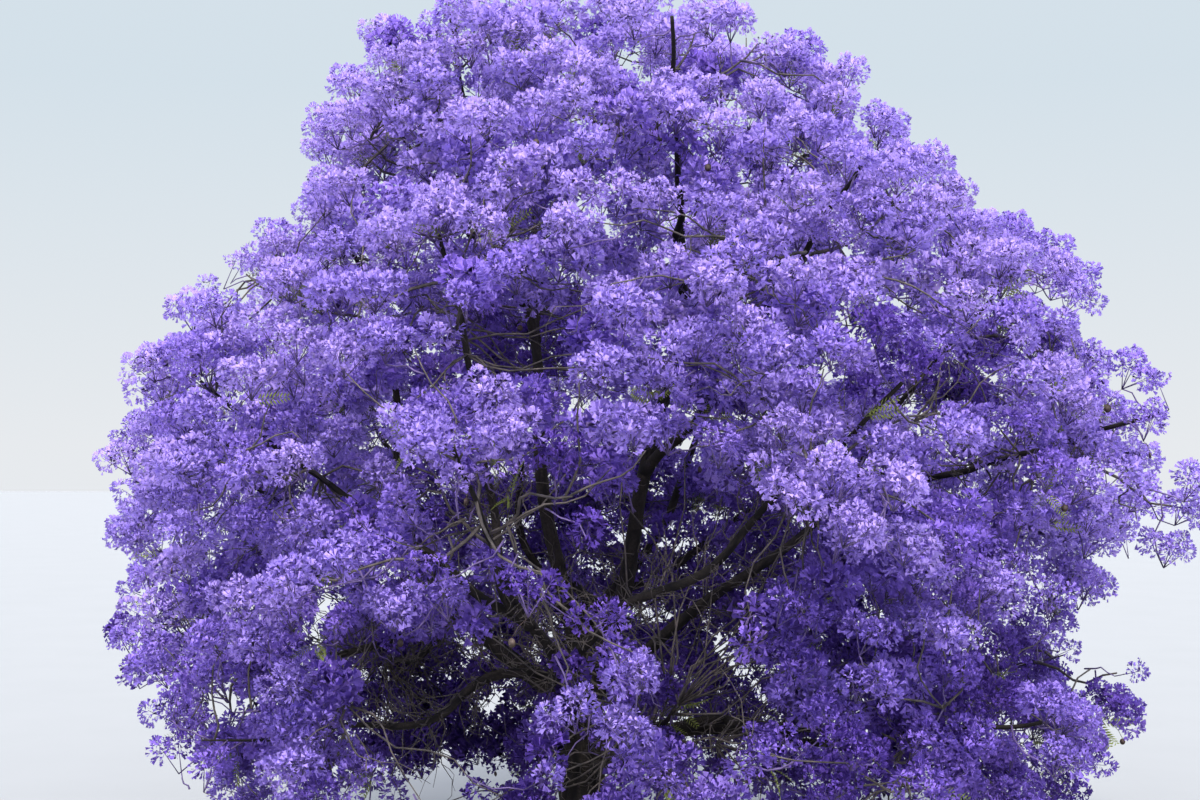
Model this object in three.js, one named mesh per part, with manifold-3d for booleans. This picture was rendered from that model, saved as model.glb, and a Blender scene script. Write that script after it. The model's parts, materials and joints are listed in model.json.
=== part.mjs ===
// A grown jacaranda in full blossom, bare of leaves, rooted in level ground.
// Millimetres, +Z up. The origin is the middle of the flat cut under the trunk.
// +X is the right of the tree as it is usually seen, and -Y is its front.
//
// The tree is a trunk, one bough to each mass of blossom, and the masses themselves.
// Boughs are found by a rule: each springs from the limb that gives the shortest way to the ground.
// Masses are grown by a seeded rule: a stem, twigs along it, and sprays of blossom along the twigs.

import * as THREE from "three";
import { mergeVertices } from "three/addons/utils/BufferGeometryUtils.js";
import Module from "manifold-3d";

const wasm = await Module();
wasm.setup();

const GAP = 0.3; // clear space between neighbouring solids
const UP = new THREE.Vector3(0, 0, 1);
const WAY_STEP = 0.001; // share of a limb's length over which its direction is taken

// The trunk, from the ground to its fork.
const TRUNK = {
  height: 1950,
  footRadius: 262,
  forkRadius: 205,
  lean: -100, // the fork stands this far to the left of the foot
  sag: 40, // and the trunk bows this far to the right on the way
  flare: 0.42, // the root flare's share of the radius, at the ground
  flareHeight: 260,
  ribs: 5, // the flare runs out in this many ridges
  ribDepth: 0.13,
  topShare: 0.8, // the very top is rounded in to this share of the fork's radius
  cutBelow: 60, // points lower than this are brought down to the ground
  sides: 15,
  steps: 7,
};

// Rings of blossom masses, from the crown's hem to its top.
// left, right, front and back are how far the ring's outline reaches from the trunk, height is the middle of
// its masses, step is how far every other one is raised and the rest lowered, across and tall are their half
// sizes, turn is where the ring starts, in degrees from +X, and open leaves out the masses within that many
// degrees of the front.
const RINGS = [
  {
    name: "hem",
    count: 8,
    height: 1880,
    step: -130,
    left: 4650,
    right: 5450,
    front: 4700,
    back: 4600,
    across: 1330,
    tall: 1020,
    turn: 0,
    open: 12,
  },
  {
    name: "broad",
    count: 9,
    height: 3850,
    step: -260,
    left: 4560,
    right: 5860,
    front: 5000,
    back: 4800,
    across: 1380,
    tall: 1120,
    turn: -25,
    open: 0,
  },
  {
    name: "shoulder",
    count: 6,
    height: 5600,
    step: 230,
    left: 3650,
    right: 5120,
    front: 4200,
    back: 4150,
    across: 1400,
    tall: 1050,
    turn: 0,
    open: 0,
  },
  {
    name: "upper",
    count: 4,
    height: 7050,
    step: 160,
    left: 3100,
    right: 3500,
    front: 3050,
    back: 3000,
    across: 1330,
    tall: 980,
    turn: 20,
    open: 0,
  },
  {
    name: "top",
    count: 2,
    height: 7850,
    step: 90,
    left: 2500,
    right: 2250,
    front: 1500,
    back: 1500,
    across: 1200,
    tall: 900,
    turn: 0,
    open: 0,
  },
];

// The half width that sizes of twigs and sprays are stated for.
const COMMON_ACROSS = 1300;

// Sprays face away from this height on the trunk's axis.
const CROWN_HEART = 2600;

// A small mass hangs low before the trunk.
const INNER = { name: "inner_1", x: 620, y: -1500, z: 1750, across: 800, tall: 620 };

// How a limb's line runs: its handles as shares of its length, and how fast it sways both ways.
const LINE = { startHandle: 0.38, endHandle: 0.3, sideRate: 7, overRate: 5 };

// Limbs that leave the trunk, the mass that each ends in, how high up the trunk it leaves as a share,
// and how much it leaves outwards and upwards.
const LEADERS = [
  { mass: "top_2", at: 1.0, outward: 0.1, upward: 1.0 },
  { mass: "top_1", at: 0.97, outward: 0.7, upward: 0.75 },
  { mass: "shoulder_1", at: 0.9, outward: 0.9, upward: 0.3 },
  { mass: "broad_6", at: 0.88, outward: 0.9, upward: 0.35 },
  { mass: "hem_1", at: 0.62, outward: 1.0, upward: 0.05 },
  { mass: "broad_4", at: 0.84, outward: 0.8, upward: 0.5 },
  { mass: "broad_8", at: 0.8, outward: 0.85, upward: 0.5 },
];

// The rule for the other boughs.
const BOUGH = {
  detour: 0.42, // how much a longer way to the ground counts against a limb
  bending: 0.5, // and how much a sharp turn at the fork does
  firstFork: 0.2, // no bough leaves a limb before this share of its length
  lastFork: 0.72, // nor after this one
  forkSteps: 8,
  steepest: 0.05, // nor turns back further than this, as a cosine
  clear: 170, // distance kept to every other limb
  entry: 820, // a bough ends this far inside its mass, short of the middle
  footRadius: 52, // radius at the foot of a bough that carries one mass
  loadPower: 0.42, // and how it grows with the number of masses carried
  tipRadius: 30,
  wander: 0.045, // sideways bends, as a share of the length
  outward: 0.8, // how much a bough leaves its limb outwards,
  upward: 0.45, // upwards
  onward: 0.25, // and along the limb
  rise: 0.25, // how much its end turns upwards
  narrowing: 0.85, // its foot is at most this share of the limb's radius there
  looks: 24, // points looked at along a limb
  freeFrom: 0.2, // a bough has to be clear of the others from this share of its length
  parentFreeFrom: 0.3, // and of its own limb from this one
};

// The rule for twigs and sprays of blossom in a mass.
const SPRAY = {
  twigs: 5,
  stemTip: 16,
  twigFoot: 20,
  twigTip: 13,
  sideways: 1.25, // a mass is this much wider along its ring than out from the trunk
  firstShare: 0.2, // twigs leave the stem from this share of its length
  lastShare: 0.62, // to this one
  angles: [78, 52], // every other twig ends at this angle from the stem's way, in degrees
  turn: 0.4, // each twig leaves this share of a full turn further round
  shortest: 150, // and no nearer to the mass's middle
  halves: [640, 540, 320], // a spray's half sizes, the last one outwards
  middleEvery: 2, // every other twig has a spray halfway too
  middleSize: 0.84,
  aside: 230, // which stands this far to the twig's side
  least: 0.5, // sprays that would be smaller than this are left out
  limbClear: 14, // kept clear round limbs
  spare: 0.06, // and this share of the spray's size more
  cellClear: 9, // kept clear inside the border of a mass's space
  lowest: 160, // nothing hangs nearer the ground
  jitter: 0.7, // how much the way that a spray faces is varied
  facedFrom: 0.6, // share of the room along a way where its facing is taken
  vary: 0.2, // sizes and angles vary over this share
  turnVary: 0.4, // a twig turns up to this share of a step further round the stem
  stemWander: 0.02, // sideways bends of the stem, as a share of its length
};

const SIDES = { leader: 7, bough: 5, stem: 4, twig: 3 };
const STEPS = { leader: 6, bough: 4, stem: 2 };

const BARK = { color: 0x4a3b30, roughness: 0.92, metalness: 0 };
const BLOSSOM = { color: 0x7e62d8, roughness: 0.75, metalness: 0 };

// The first numbers that draws are made with: from one limb to the next, and within a mass.
const SEEDS = { limb: 101, tip: 20, middle: 40 };

// What each random draw is for, as the second number that it is drawn with.
const DRAW = { sway: 3, firstTurn: 5, angle: 6, size: 7, middleSize: 8, turn: 9, facing: [12, 13, 14] };

const degrees = THREE.MathUtils.degToRad;

// A repeatable number from 0 to 1 for each pair of whole numbers.
function chance(n, salt) {
  const x = Math.sin(n * 12.9898 + salt * 78.233) * 43758.5453;
  return x - Math.floor(x);
}

const vec = (x, y, z) => new THREE.Vector3(x, y, z);

// The line of a limb: a cubic Bezier curve with slow sideways bends that vanish at both ends.
class LimbLine extends THREE.Curve {
  constructor(start, startWay, end, endWay, bend, seed) {
    super();
    const reach = start.distanceTo(end);
    const handle1 = start.clone().addScaledVector(startWay, LINE.startHandle * reach);
    const handle2 = end.clone().addScaledVector(endWay, -LINE.endHandle * reach);
    this.bezier = new THREE.CubicBezierCurve3(start, handle1, handle2, end);
    const way = end.clone().sub(start).normalize();
    const helper = Math.abs(way.z) > 0.9 ? vec(1, 0, 0) : UP;
    this.side = way.clone().cross(helper).normalize();
    this.over = this.side.clone().cross(way).normalize();
    this.amount = bend * reach;
    this.phase = chance(seed, DRAW.sway) * 2 * Math.PI;
  }

  getPoint(t, target = vec()) {
    this.bezier.getPoint(t, target);
    const fade = Math.sin(Math.PI * t) ** 2 * this.amount;
    target.addScaledVector(this.side, fade * Math.sin(LINE.sideRate * t + this.phase));
    return target.addScaledVector(this.over, fade * Math.cos(LINE.overRate * t + this.phase));
  }

  wayAt(t) {
    const before = this.getPoint(Math.max(0, t - WAY_STEP));
    return this.getPoint(Math.min(1, t + WAY_STEP)).sub(before).normalize();
  }
}

// A closed tapering tube along a line: a cylinder whose rings are moved onto the line.
// radiusAt(share, angle) gives the radius at a share of the length, and both ends are longer by extra.
function taperedTube(line, radiusAt, sides, steps, extra = 0) {
  const tube = new THREE.CylinderGeometry(1, 1, 1, sides, steps);
  const rings = [];
  let across = null;
  for (let k = 0; k <= steps; k++) {
    const way = line.wayAt(k / steps);
    across ??= way.clone().cross(Math.abs(way.z) > 0.9 ? vec(0, 1, 0) : UP);
    across.addScaledVector(way, -across.dot(way)).normalize();
    const longer = (k === steps ? extra : 0) - (k === 0 ? extra : 0);
    const middle = line.getPoint(k / steps).addScaledVector(way, longer);
    rings.push({ middle, across: across.clone(), over: across.clone().cross(way) });
  }
  const place = tube.attributes.position;
  for (let i = 0; i < place.count; i++) {
    const share = THREE.MathUtils.clamp(place.getY(i) + 0.5, 0, 1);
    const ring = rings[Math.round(share * steps)];
    const radius = radiusAt(share, Math.atan2(place.getZ(i), place.getX(i)));
    const p = ring.middle
      .clone()
      .addScaledVector(ring.across, place.getX(i) * radius)
      .addScaledVector(ring.over, place.getZ(i) * radius);
    place.setXYZ(i, p.x, p.y, p.z);
  }
  return tube;
}

// A closed geometry as a solid.
function solidOf(geometry) {
  const bare = geometry.clone();
  bare.deleteAttribute("normal");
  bare.deleteAttribute("uv");
  const merged = mergeVertices(bare, 1e-3);
  const mesh = new wasm.Mesh({
    numProp: 3,
    vertProperties: merged.attributes.position.array,
    triVerts: new Uint32Array(merged.index.array),
  });
  return new wasm.Manifold(mesh);
}

// The largest body of a solid, so that scraps go and sealed hollows are filled.
function wholeOf(solid) {
  const bodies = solid.decompose();
  return bodies.reduce((best, body) => (body.volume() > best.volume() ? body : best));
}

function geometryOf(solid) {
  const { vertProperties, triVerts, numProp } = solid.getMesh();
  const count = vertProperties.length / numProp;
  const place = new Float32Array(count * 3);
  for (let i = 0; i < count; i++) place.set(vertProperties.subarray(i * numProp, i * numProp + 3), i * 3);
  const geometry = new THREE.BufferGeometry();
  geometry.setAttribute("position", new THREE.BufferAttribute(place, 3));
  geometry.setIndex(new THREE.BufferAttribute(new Uint32Array(triVerts), 1));
  geometry.computeVertexNormals();
  return geometry;
}

// The masses: rings round the crown, and the small inner one.
function placeMasses() {
  const masses = [];
  for (const ring of RINGS) {
    let number = 0;
    for (let k = 0; k < ring.count; k++) {
      const angle = ring.turn + (360 / ring.count) * k;
      const fromFront = Math.abs(((((angle + 90) % 360) + 540) % 360) - 180);
      if (fromFront < ring.open) continue;
      number += 1;
      const c = Math.cos(degrees(angle));
      const s = Math.sin(degrees(angle));
      const outX = (c > 0 ? ring.right : ring.left) - ring.across;
      const outY = (s > 0 ? ring.back : ring.front) - ring.across;
      const lift = ring.step * (k % 2 ? 1 : -1);
      const centre = vec(outX * c, outY * s, ring.height + lift);
      masses.push({ name: `${ring.name}_${number}`, centre, across: ring.across, tall: ring.tall });
    }
  }
  const centre = vec(INNER.x, INNER.y, INNER.z);
  masses.push({ name: INNER.name, centre, across: INNER.across, tall: INNER.tall });
  return masses;
}

function trunkLimb() {
  const fork = vec(TRUNK.lean, 0, TRUNK.height);
  const line = new LimbLine(vec(0, 0, 0), UP, fork, UP, 0, 0);
  line.amount = TRUNK.sag;
  line.phase = 0;
  return { name: "trunk", line, parent: null, pathLength: 0, load: 0, number: 0 };
}

// Points along a limb that others keep clear of.
function lookPoints(limb) {
  const points = [];
  for (let k = 0; k <= BOUGH.looks; k++) points.push(limb.line.getPoint(k / BOUGH.looks));
  return points;
}

// A limb from a share of its parent's length to just inside a mass.
function limbTo(mass, parent, share, outward, upward, number) {
  const start = parent.line.getPoint(share);
  const aim = mass.centre.clone().sub(start);
  const entry = BOUGH.entry * (mass.across / COMMON_ACROSS);
  const end = mass.centre.clone().addScaledVector(aim.clone().normalize(), -entry);
  const level = vec(aim.x, aim.y, 0).normalize();
  const startWay = level.multiplyScalar(outward).addScaledVector(UP, upward);
  startWay.addScaledVector(parent.line.wayAt(share), BOUGH.onward).normalize();
  const endWay = mass.centre.clone().sub(end).normalize().addScaledVector(UP, BOUGH.rise).normalize();
  const line = new LimbLine(start, startWay, end, endWay, BOUGH.wander, number);
  const limb = { name: `bough_${mass.name}`, line, parent, share, mass, load: 0, number };
  limb.pathLength = parent.pathLength + share * (parent.span ?? TRUNK.height) + start.distanceTo(end);
  limb.span = start.distanceTo(end);
  limb.looks = lookPoints(limb);
  return limb;
}

// Whether a limb keeps clear of all the others past its own fork.
function keepsClear(limb, limbs) {
  return limbs.every((other) => {
    const from = other === limb.parent ? BOUGH.parentFreeFrom : BOUGH.freeFrom;
    const first = Math.ceil(BOUGH.looks * from);
    return limb.looks.slice(first).every((p) => other.looks.every((q) => p.distanceTo(q) > BOUGH.clear));
  });
}

// Every limb: the trunk, its leaders, then each other bough from the limb that suits it best.
function growLimbs(masses) {
  const trunk = trunkLimb();
  trunk.looks = lookPoints(trunk);
  const limbs = [trunk];
  for (const row of LEADERS) {
    const mass = masses.find((m) => m.name === row.mass);
    const limb = limbTo(mass, trunk, row.at, row.outward, row.upward, limbs.length);
    limb.leader = true;
    limbs.push(limb);
  }
  const waiting = masses.filter((m) => !LEADERS.some((row) => row.mass === m.name));
  while (waiting.length) {
    const ways = [];
    for (const mass of waiting)
      for (const parent of limbs)
        for (let k = 0; k <= BOUGH.forkSteps; k++) {
          if (parent.mass?.name === INNER.name) continue;
          if (parent === trunk && mass.name !== INNER.name) continue;
          const share = THREE.MathUtils.lerp(BOUGH.firstFork, BOUGH.lastFork, k / BOUGH.forkSteps);
          const start = parent.line.getPoint(share);
          const aim = mass.centre.clone().sub(start);
          const turn = aim.clone().normalize().dot(parent.line.wayAt(share));
          if (parent !== trunk && turn < BOUGH.steepest) continue;
          const pathLength = parent.pathLength + share * (parent.span ?? TRUNK.height);
          const bent = 1 + BOUGH.bending * (1 - turn);
          ways.push({ mass, parent, share, cost: aim.length() * bent + BOUGH.detour * pathLength });
        }
    ways.sort((a, b) => a.cost - b.cost);
    let best = null;
    for (const way of ways) {
      const limb = limbTo(way.mass, way.parent, way.share, BOUGH.outward, BOUGH.upward, limbs.length);
      if (keepsClear(limb, limbs)) {
        best = limb;
        break;
      }
    }
    if (!best) throw new Error("no clear way to " + waiting.map((m) => m.name).join(" "));
    limbs.push(best);
    waiting.splice(waiting.indexOf(best.mass), 1);
  }
  for (const limb of limbs) for (let up = limb; up; up = up.parent) up.load += limb.mass ? 1 : 0;
  for (const limb of limbs.slice(1)) {
    limb.tipRadius = BOUGH.tipRadius;
    const own = BOUGH.footRadius * limb.load ** BOUGH.loadPower;
    limb.footRadius = Math.min(own, BOUGH.narrowing * radiusOf(limb.parent, limb.share));
  }
  return limbs;
}

function radiusOf(limb, share) {
  if (!limb.parent) {
    const straight = THREE.MathUtils.lerp(TRUNK.footRadius, TRUNK.forkRadius, share);
    const rounded = share > 0.999 ? TRUNK.topShare : 1;
    return straight * rounded * (1 + TRUNK.flare * Math.exp((-share * TRUNK.height) / TRUNK.flareHeight));
  }
  return THREE.MathUtils.lerp(limb.footRadius, limb.tipRadius, share);
}

// A limb's tube, thicker all round by extra.
function limbSolid(limb, extra) {
  const sides = limb.parent ? (limb.leader ? SIDES.leader : SIDES.bough) : TRUNK.sides;
  const steps = limb.parent ? (limb.leader ? STEPS.leader : STEPS.bough) : TRUNK.steps;
  const radiusAt = (share, angle) => {
    const ribs = limb.parent ? 0 : TRUNK.ribDepth * Math.exp((-share * TRUNK.height) / TRUNK.flareHeight);
    return radiusOf(limb, share) * (1 + ribs * Math.cos(TRUNK.ribs * angle)) + extra;
  };
  const tube = taperedTube(limb.line, radiusAt, sides, steps, extra);
  if (!limb.parent) flattenFoot(tube);
  return solidOf(tube);
}

// The trunk's cut at the ground is level.
function flattenFoot(tube) {
  const place = tube.attributes.position;
  for (let i = 0; i < place.count; i++) if (place.getZ(i) < TRUNK.cutBelow) place.setZ(i, 0);
}

// Each limb with room cut for the limbs that it springs from or starts beside.
function carveLimbs(limbs) {
  const flatGap = GAP / Math.cos(Math.PI / SIDES.bough);
  const grown = limbs.map((limb) => limbSolid(limb, flatGap));
  return limbs.map((limb, i) => {
    let solid = limbSolid(limb, 0);
    for (let j = 0; j < i; j++) solid = solid.subtract(grown[j]);
    return wholeOf(solid);
  });
}

// A direction at a share and turn round a way: 0 is along it, and a right angle is across.
function fanWay(way, angle, turn) {
  const helper = Math.abs(way.z) > 0.9 ? vec(1, 0, 0) : UP;
  const side = way.clone().cross(helper).normalize();
  const over = side.clone().cross(way).normalize();
  const round = side.multiplyScalar(Math.cos(turn)).addScaledVector(over, Math.sin(turn));
  return way.clone().multiplyScalar(Math.cos(angle)).addScaledVector(round, Math.sin(angle));
}

// Whether a point lies in a mass's own space: nearer to its middle than to any other mass's.
function inSpace(p, mass, masses) {
  if (p.z < SPRAY.lowest) return false;
  return masses.every((other) => other === mass || toBorder(p, mass, other) > SPRAY.cellClear);
}

// How far a point is from the plane halfway between its mass and another.
function toBorder(p, mass, other) {
  const apart = other.centre.distanceTo(mass.centre);
  return (p.distanceToSquared(other.centre) - p.distanceToSquared(mass.centre)) / (2 * apart);
}

// Whether a straight piece keeps clear of every limb.
function clearOfLimbs(from, to, radius, limbs) {
  const piece = new THREE.Line3(from, to);
  const nearest = vec();
  return limbs.every((limb) =>
    limb.looks.every((q, k) => {
      piece.closestPointToPoint(q, true, nearest);
      return nearest.distanceTo(q) > radius + radiusOf(limb, k / BOUGH.looks) + SPRAY.limbClear;
    }),
  );
}

// A spray of blossom: an eight-faced pad that faces one way, with a corner either way along three ways.
function sprayAt(middle, facing, spin, size) {
  const side = fanWay(facing, Math.PI / 2, spin);
  const over = facing.clone().cross(side).normalize();
  return { middle, ways: [side, over, facing], halves: SPRAY.halves.map((half) => half * size) };
}

// How far a spray reaches from its middle along a way.
function reachAlong({ ways, halves }, way) {
  return Math.max(...ways.map((side, k) => Math.abs(side.dot(way)) * halves[k]));
}

// The share of a spray's size at which it stays in its mass's own space and off the ground.
function fittingShare(spray, mass, masses) {
  let share = Math.min(1, (spray.middle.z - SPRAY.lowest) / reachAlong(spray, UP));
  for (const other of masses) {
    if (other === mass) continue;
    const apart = other.centre.clone().sub(mass.centre).normalize();
    const room = toBorder(spray.middle, mass, other) - SPRAY.cellClear;
    share = Math.min(share, room / reachAlong(spray, apart));
  }
  return share;
}

// Whether a spray keeps clear of every limb. Inside it, the shares of its half sizes add up to less than 1.
function sprayClear({ middle, ways, halves }, limbs) {
  return limbs.every((limb) =>
    limb.looks.every((q, k) => {
      const slack = Math.sqrt(3) * (radiusOf(limb, k / BOUGH.looks) + SPRAY.limbClear);
      const away = q.clone().sub(middle);
      const size = ways.reduce((sum, way, j) => sum + Math.abs(away.dot(way)) / (halves[j] + slack), 0);
      return size > 1 + SPRAY.spare;
    }),
  );
}

// How far a mass's space reaches from its middle along a way.
function roomAlong(mass, way, masses) {
  const out = vec(mass.centre.x, mass.centre.y, 0).normalize();
  const outward = way.dot(out) / mass.across;
  const sideways = (way.x * out.y - way.y * out.x) / (mass.across * SPRAY.sideways);
  let room = 1 / Math.hypot(outward, sideways, way.z / mass.tall);
  for (const other of masses) {
    const apart = other.centre.clone().sub(mass.centre);
    if (way.dot(apart) > 0) room = Math.min(room, apart.lengthSq() / 2 / way.dot(apart));
  }
  return room;
}

// A mass's stem, twigs and sprays. What would leave the mass's space or touch a limb is left out.
function growMass(mass, limb, masses, limbs) {
  const seed = limb.number * SEEDS.limb;
  const way = limb.line.wayAt(1);
  const bulk = Math.sqrt(mass.across / COMMON_ACROSS);
  const heart = vec(0, 0, CROWN_HEART);
  const twigs = [];
  const sprays = [];
  const sprayFor = (middle, number, size) => {
    const jitter = vec(...DRAW.facing.map((draw) => chance(number, draw) - 0.5));
    const facing = middle.clone().sub(heart).normalize().addScaledVector(jitter, SPRAY.jitter).normalize();
    return sprayAt(middle, facing, number, size * bulk);
  };
  // The furthest place along a way where a whole spray still fits.
  const placeAlong = (out, number, size) => {
    const room = roomAlong(mass, out, masses);
    const there = mass.centre.clone().addScaledVector(out, SPRAY.facedFrom * room);
    const reach = room - reachAlong(sprayFor(there, number, size), out);
    return mass.centre.clone().addScaledVector(out, Math.max(reach, SPRAY.shortest));
  };
  const addSpray = (middle, number, size) => {
    const share = fittingShare(sprayFor(middle, number, size), mass, masses);
    const spray = sprayFor(middle, number, size * share);
    if (share * size > SPRAY.least && sprayClear(spray, limbs)) sprays.push(spray);
  };
  const start = limb.line.getPoint(1).addScaledVector(way, GAP);
  const end = placeAlong(way, seed, 1);
  const stem = new LimbLine(start, way, end, way, SPRAY.stemWander, seed);
  addSpray(end, seed, 1);
  const firstTurn = chance(seed, DRAW.firstTurn) * 2 * Math.PI;
  const varied = (number, draw) => 1 + SPRAY.vary * (chance(number, draw) - 0.5);
  for (let k = 0; k < SPRAY.twigs; k++) {
    const share = THREE.MathUtils.lerp(SPRAY.firstShare, SPRAY.lastShare, k / (SPRAY.twigs - 1));
    const fork = stem.getPoint(share);
    const angle = degrees(SPRAY.angles[k % 2]) * varied(seed + k, DRAW.angle);
    const step = k + SPRAY.turnVary * chance(seed + k, DRAW.turn);
    const out = fanWay(way, angle, firstTurn + step * SPRAY.turn * 2 * Math.PI);
    const size = varied(seed + k, DRAW.size);
    const tip = placeAlong(out, seed + SEEDS.tip + k, size);
    const others = limbs.filter((l) => l !== limb);
    if (!inSpace(tip, mass, masses) || !clearOfLimbs(fork, tip, SPRAY.twigFoot, others)) continue;
    const twigWay = tip.clone().sub(fork).normalize();
    twigs.push({ from: fork, to: tip, way: twigWay });
    addSpray(tip, seed + SEEDS.tip + k, size);
    if (k % SPRAY.middleEvery) continue;
    const side = twigWay.clone().cross(way).normalize();
    const middle = fork.clone().lerp(tip, 0.5).addScaledVector(side, SPRAY.aside);
    addSpray(middle, seed + SEEDS.middle + k, SPRAY.middleSize * varied(seed + k, DRAW.middleSize));
  }
  return { stem, twigs, sprays };
}

function spraySolid({ middle, ways, halves }) {
  const geometry = new THREE.OctahedronGeometry(1);
  const turn = new THREE.Matrix4().makeBasis(...ways);
  turn.multiply(new THREE.Matrix4().makeScale(...halves)).setPosition(middle);
  geometry.applyMatrix4(turn);
  return solidOf(geometry);
}

function twigSolid(twig) {
  const line = new LimbLine(twig.from, twig.way, twig.to, twig.way, 0, 0);
  const radiusAt = (share) => THREE.MathUtils.lerp(SPRAY.twigFoot, SPRAY.twigTip, share);
  return solidOf(taperedTube(line, radiusAt, SIDES.twig, 1));
}

function massSolid(grown) {
  const radiusAt = (share) => THREE.MathUtils.lerp(BOUGH.tipRadius, SPRAY.stemTip, share);
  let solid = solidOf(taperedTube(grown.stem, radiusAt, SIDES.stem, STEPS.stem));
  for (const twig of grown.twigs) solid = solid.add(twigSolid(twig));
  for (const spray of grown.sprays) solid = solid.add(spraySolid(spray));
  return wholeOf(solid);
}

const tree = new THREE.Group();
const bark = new THREE.MeshStandardMaterial(BARK);
const blossom = new THREE.MeshStandardMaterial(BLOSSOM);

function addNode(name, solid, material) {
  const mesh = new THREE.Mesh(geometryOf(solid), material);
  mesh.name = name;
  tree.add(mesh);
}

const masses = placeMasses();
const limbs = growLimbs(masses);
carveLimbs(limbs).forEach((solid, i) => addNode(limbs[i].name, solid, bark));
for (const limb of limbs.slice(1)) {
  const grown = growMass(limb.mass, limb, masses, limbs);
  addNode(`mass_${limb.mass.name}`, massSolid(grown), blossom);
}

export default tree;
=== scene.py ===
"""A grown jacaranda in full blossom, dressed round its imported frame.

The frame holds a trunk, one bough to each mass of blossom, and the masses. This script grows the same
limbs, twigs and sprays again by the source's rule, puts bark on the limbs, and carries every spray on to
panicles of single bells, with their stalks, bare twigs, a few first leaves and last year's pods.
"""

import functools
import json
import math
from collections import namedtuple
from types import SimpleNamespace

import bpy
import numpy as np
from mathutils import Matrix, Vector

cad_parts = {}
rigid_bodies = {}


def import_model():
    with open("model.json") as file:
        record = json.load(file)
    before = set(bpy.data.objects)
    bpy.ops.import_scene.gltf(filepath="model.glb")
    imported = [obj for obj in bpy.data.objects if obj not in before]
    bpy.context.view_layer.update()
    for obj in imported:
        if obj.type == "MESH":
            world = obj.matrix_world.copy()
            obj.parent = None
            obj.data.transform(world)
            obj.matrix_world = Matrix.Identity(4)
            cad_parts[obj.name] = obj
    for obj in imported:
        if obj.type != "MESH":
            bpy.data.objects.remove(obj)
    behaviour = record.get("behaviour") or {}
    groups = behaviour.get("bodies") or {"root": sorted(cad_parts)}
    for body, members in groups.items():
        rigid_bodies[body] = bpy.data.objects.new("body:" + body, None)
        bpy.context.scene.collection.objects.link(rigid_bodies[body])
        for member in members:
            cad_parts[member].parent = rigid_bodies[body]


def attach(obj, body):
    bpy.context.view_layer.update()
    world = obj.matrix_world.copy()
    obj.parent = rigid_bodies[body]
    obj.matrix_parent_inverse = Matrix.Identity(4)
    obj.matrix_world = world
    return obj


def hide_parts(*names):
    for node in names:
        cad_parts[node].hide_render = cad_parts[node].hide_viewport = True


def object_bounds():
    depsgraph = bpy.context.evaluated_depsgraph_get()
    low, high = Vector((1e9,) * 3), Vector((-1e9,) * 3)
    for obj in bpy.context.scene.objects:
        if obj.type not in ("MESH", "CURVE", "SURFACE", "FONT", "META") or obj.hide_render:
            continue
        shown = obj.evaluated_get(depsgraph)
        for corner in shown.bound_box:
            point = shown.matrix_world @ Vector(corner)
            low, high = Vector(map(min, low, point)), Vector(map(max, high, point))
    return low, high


bl_info = {
    "name": "Jacaranda in blossom",
    "version": (1, 0, 0),
    "blender": (4, 5, 0),
    "location": "3D View > Sidebar > Jacaranda",
    "description": "Bark, twigs, blossom, leaves and pods for a grown jacaranda",
    "category": "Add Mesh",
}

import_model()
CAD_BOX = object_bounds()

# The source's rule, with its values in its own millimetres. MM turns them into metres, GAP lies between a
# bough and its stem, and WAY_STEP is the step along a limb that its direction is taken over.
MM = 0.001
GAP = 0.3
WAY_STEP = 0.001
UP = np.array([0.0, 0.0, 1.0])
RIGHT = np.array([1.0, 0.0, 0.0])
STEEP = 0.9

TRUNK = SimpleNamespace(
    height=1950,
    foot_radius=262,
    fork_radius=205,
    lean=-100,
    sag=40,
    flare=0.42,
    flare_height=260,
    ribs=5,
    rib_depth=0.13,
    top_share=0.8,
)

Ring = namedtuple("Ring", "name count height step left right front back across tall turn open")
RINGS = [
    Ring("hem", 8, 1880, -130, 4650, 5450, 4700, 4600, 1330, 1020, 0, 12),
    Ring("broad", 9, 3850, -260, 4560, 5860, 5000, 4800, 1380, 1120, -25, 0),
    Ring("shoulder", 6, 5600, 230, 3650, 5120, 4200, 4150, 1400, 1050, 0, 0),
    Ring("upper", 4, 7050, 160, 3100, 3500, 3050, 3000, 1330, 980, 20, 0),
    Ring("top", 2, 7850, 90, 2500, 2250, 1500, 1500, 1200, 900, 0, 0),
]
COMMON_ACROSS = 1300
CROWN_HEART = 2600
INNER = SimpleNamespace(name="inner_1", x=620, y=-1500, z=1750, across=800, tall=620)

LINE = SimpleNamespace(start_handle=0.38, end_handle=0.3, side_rate=7, over_rate=5)

Leader = namedtuple("Leader", "mass at outward upward")
LEADERS = [
    Leader("top_2", 1.0, 0.1, 1.0),
    Leader("top_1", 0.97, 0.7, 0.75),
    Leader("shoulder_1", 0.9, 0.9, 0.3),
    Leader("broad_6", 0.88, 0.9, 0.35),
    Leader("hem_1", 0.62, 1.0, 0.05),
    Leader("broad_4", 0.84, 0.8, 0.5),
    Leader("broad_8", 0.8, 0.85, 0.5),
]

BOUGH = SimpleNamespace(
    detour=0.42,
    bending=0.5,
    first_fork=0.2,
    last_fork=0.72,
    fork_steps=8,
    steepest=0.05,
    clear=170,
    entry=820,
    foot_radius=52,
    load_power=0.42,
    tip_radius=30,
    wander=0.045,
    outward=0.8,
    upward=0.45,
    onward=0.25,
    rise=0.25,
    narrowing=0.85,
    looks=24,
    free_from=0.2,
    parent_free_from=0.3,
)

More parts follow.
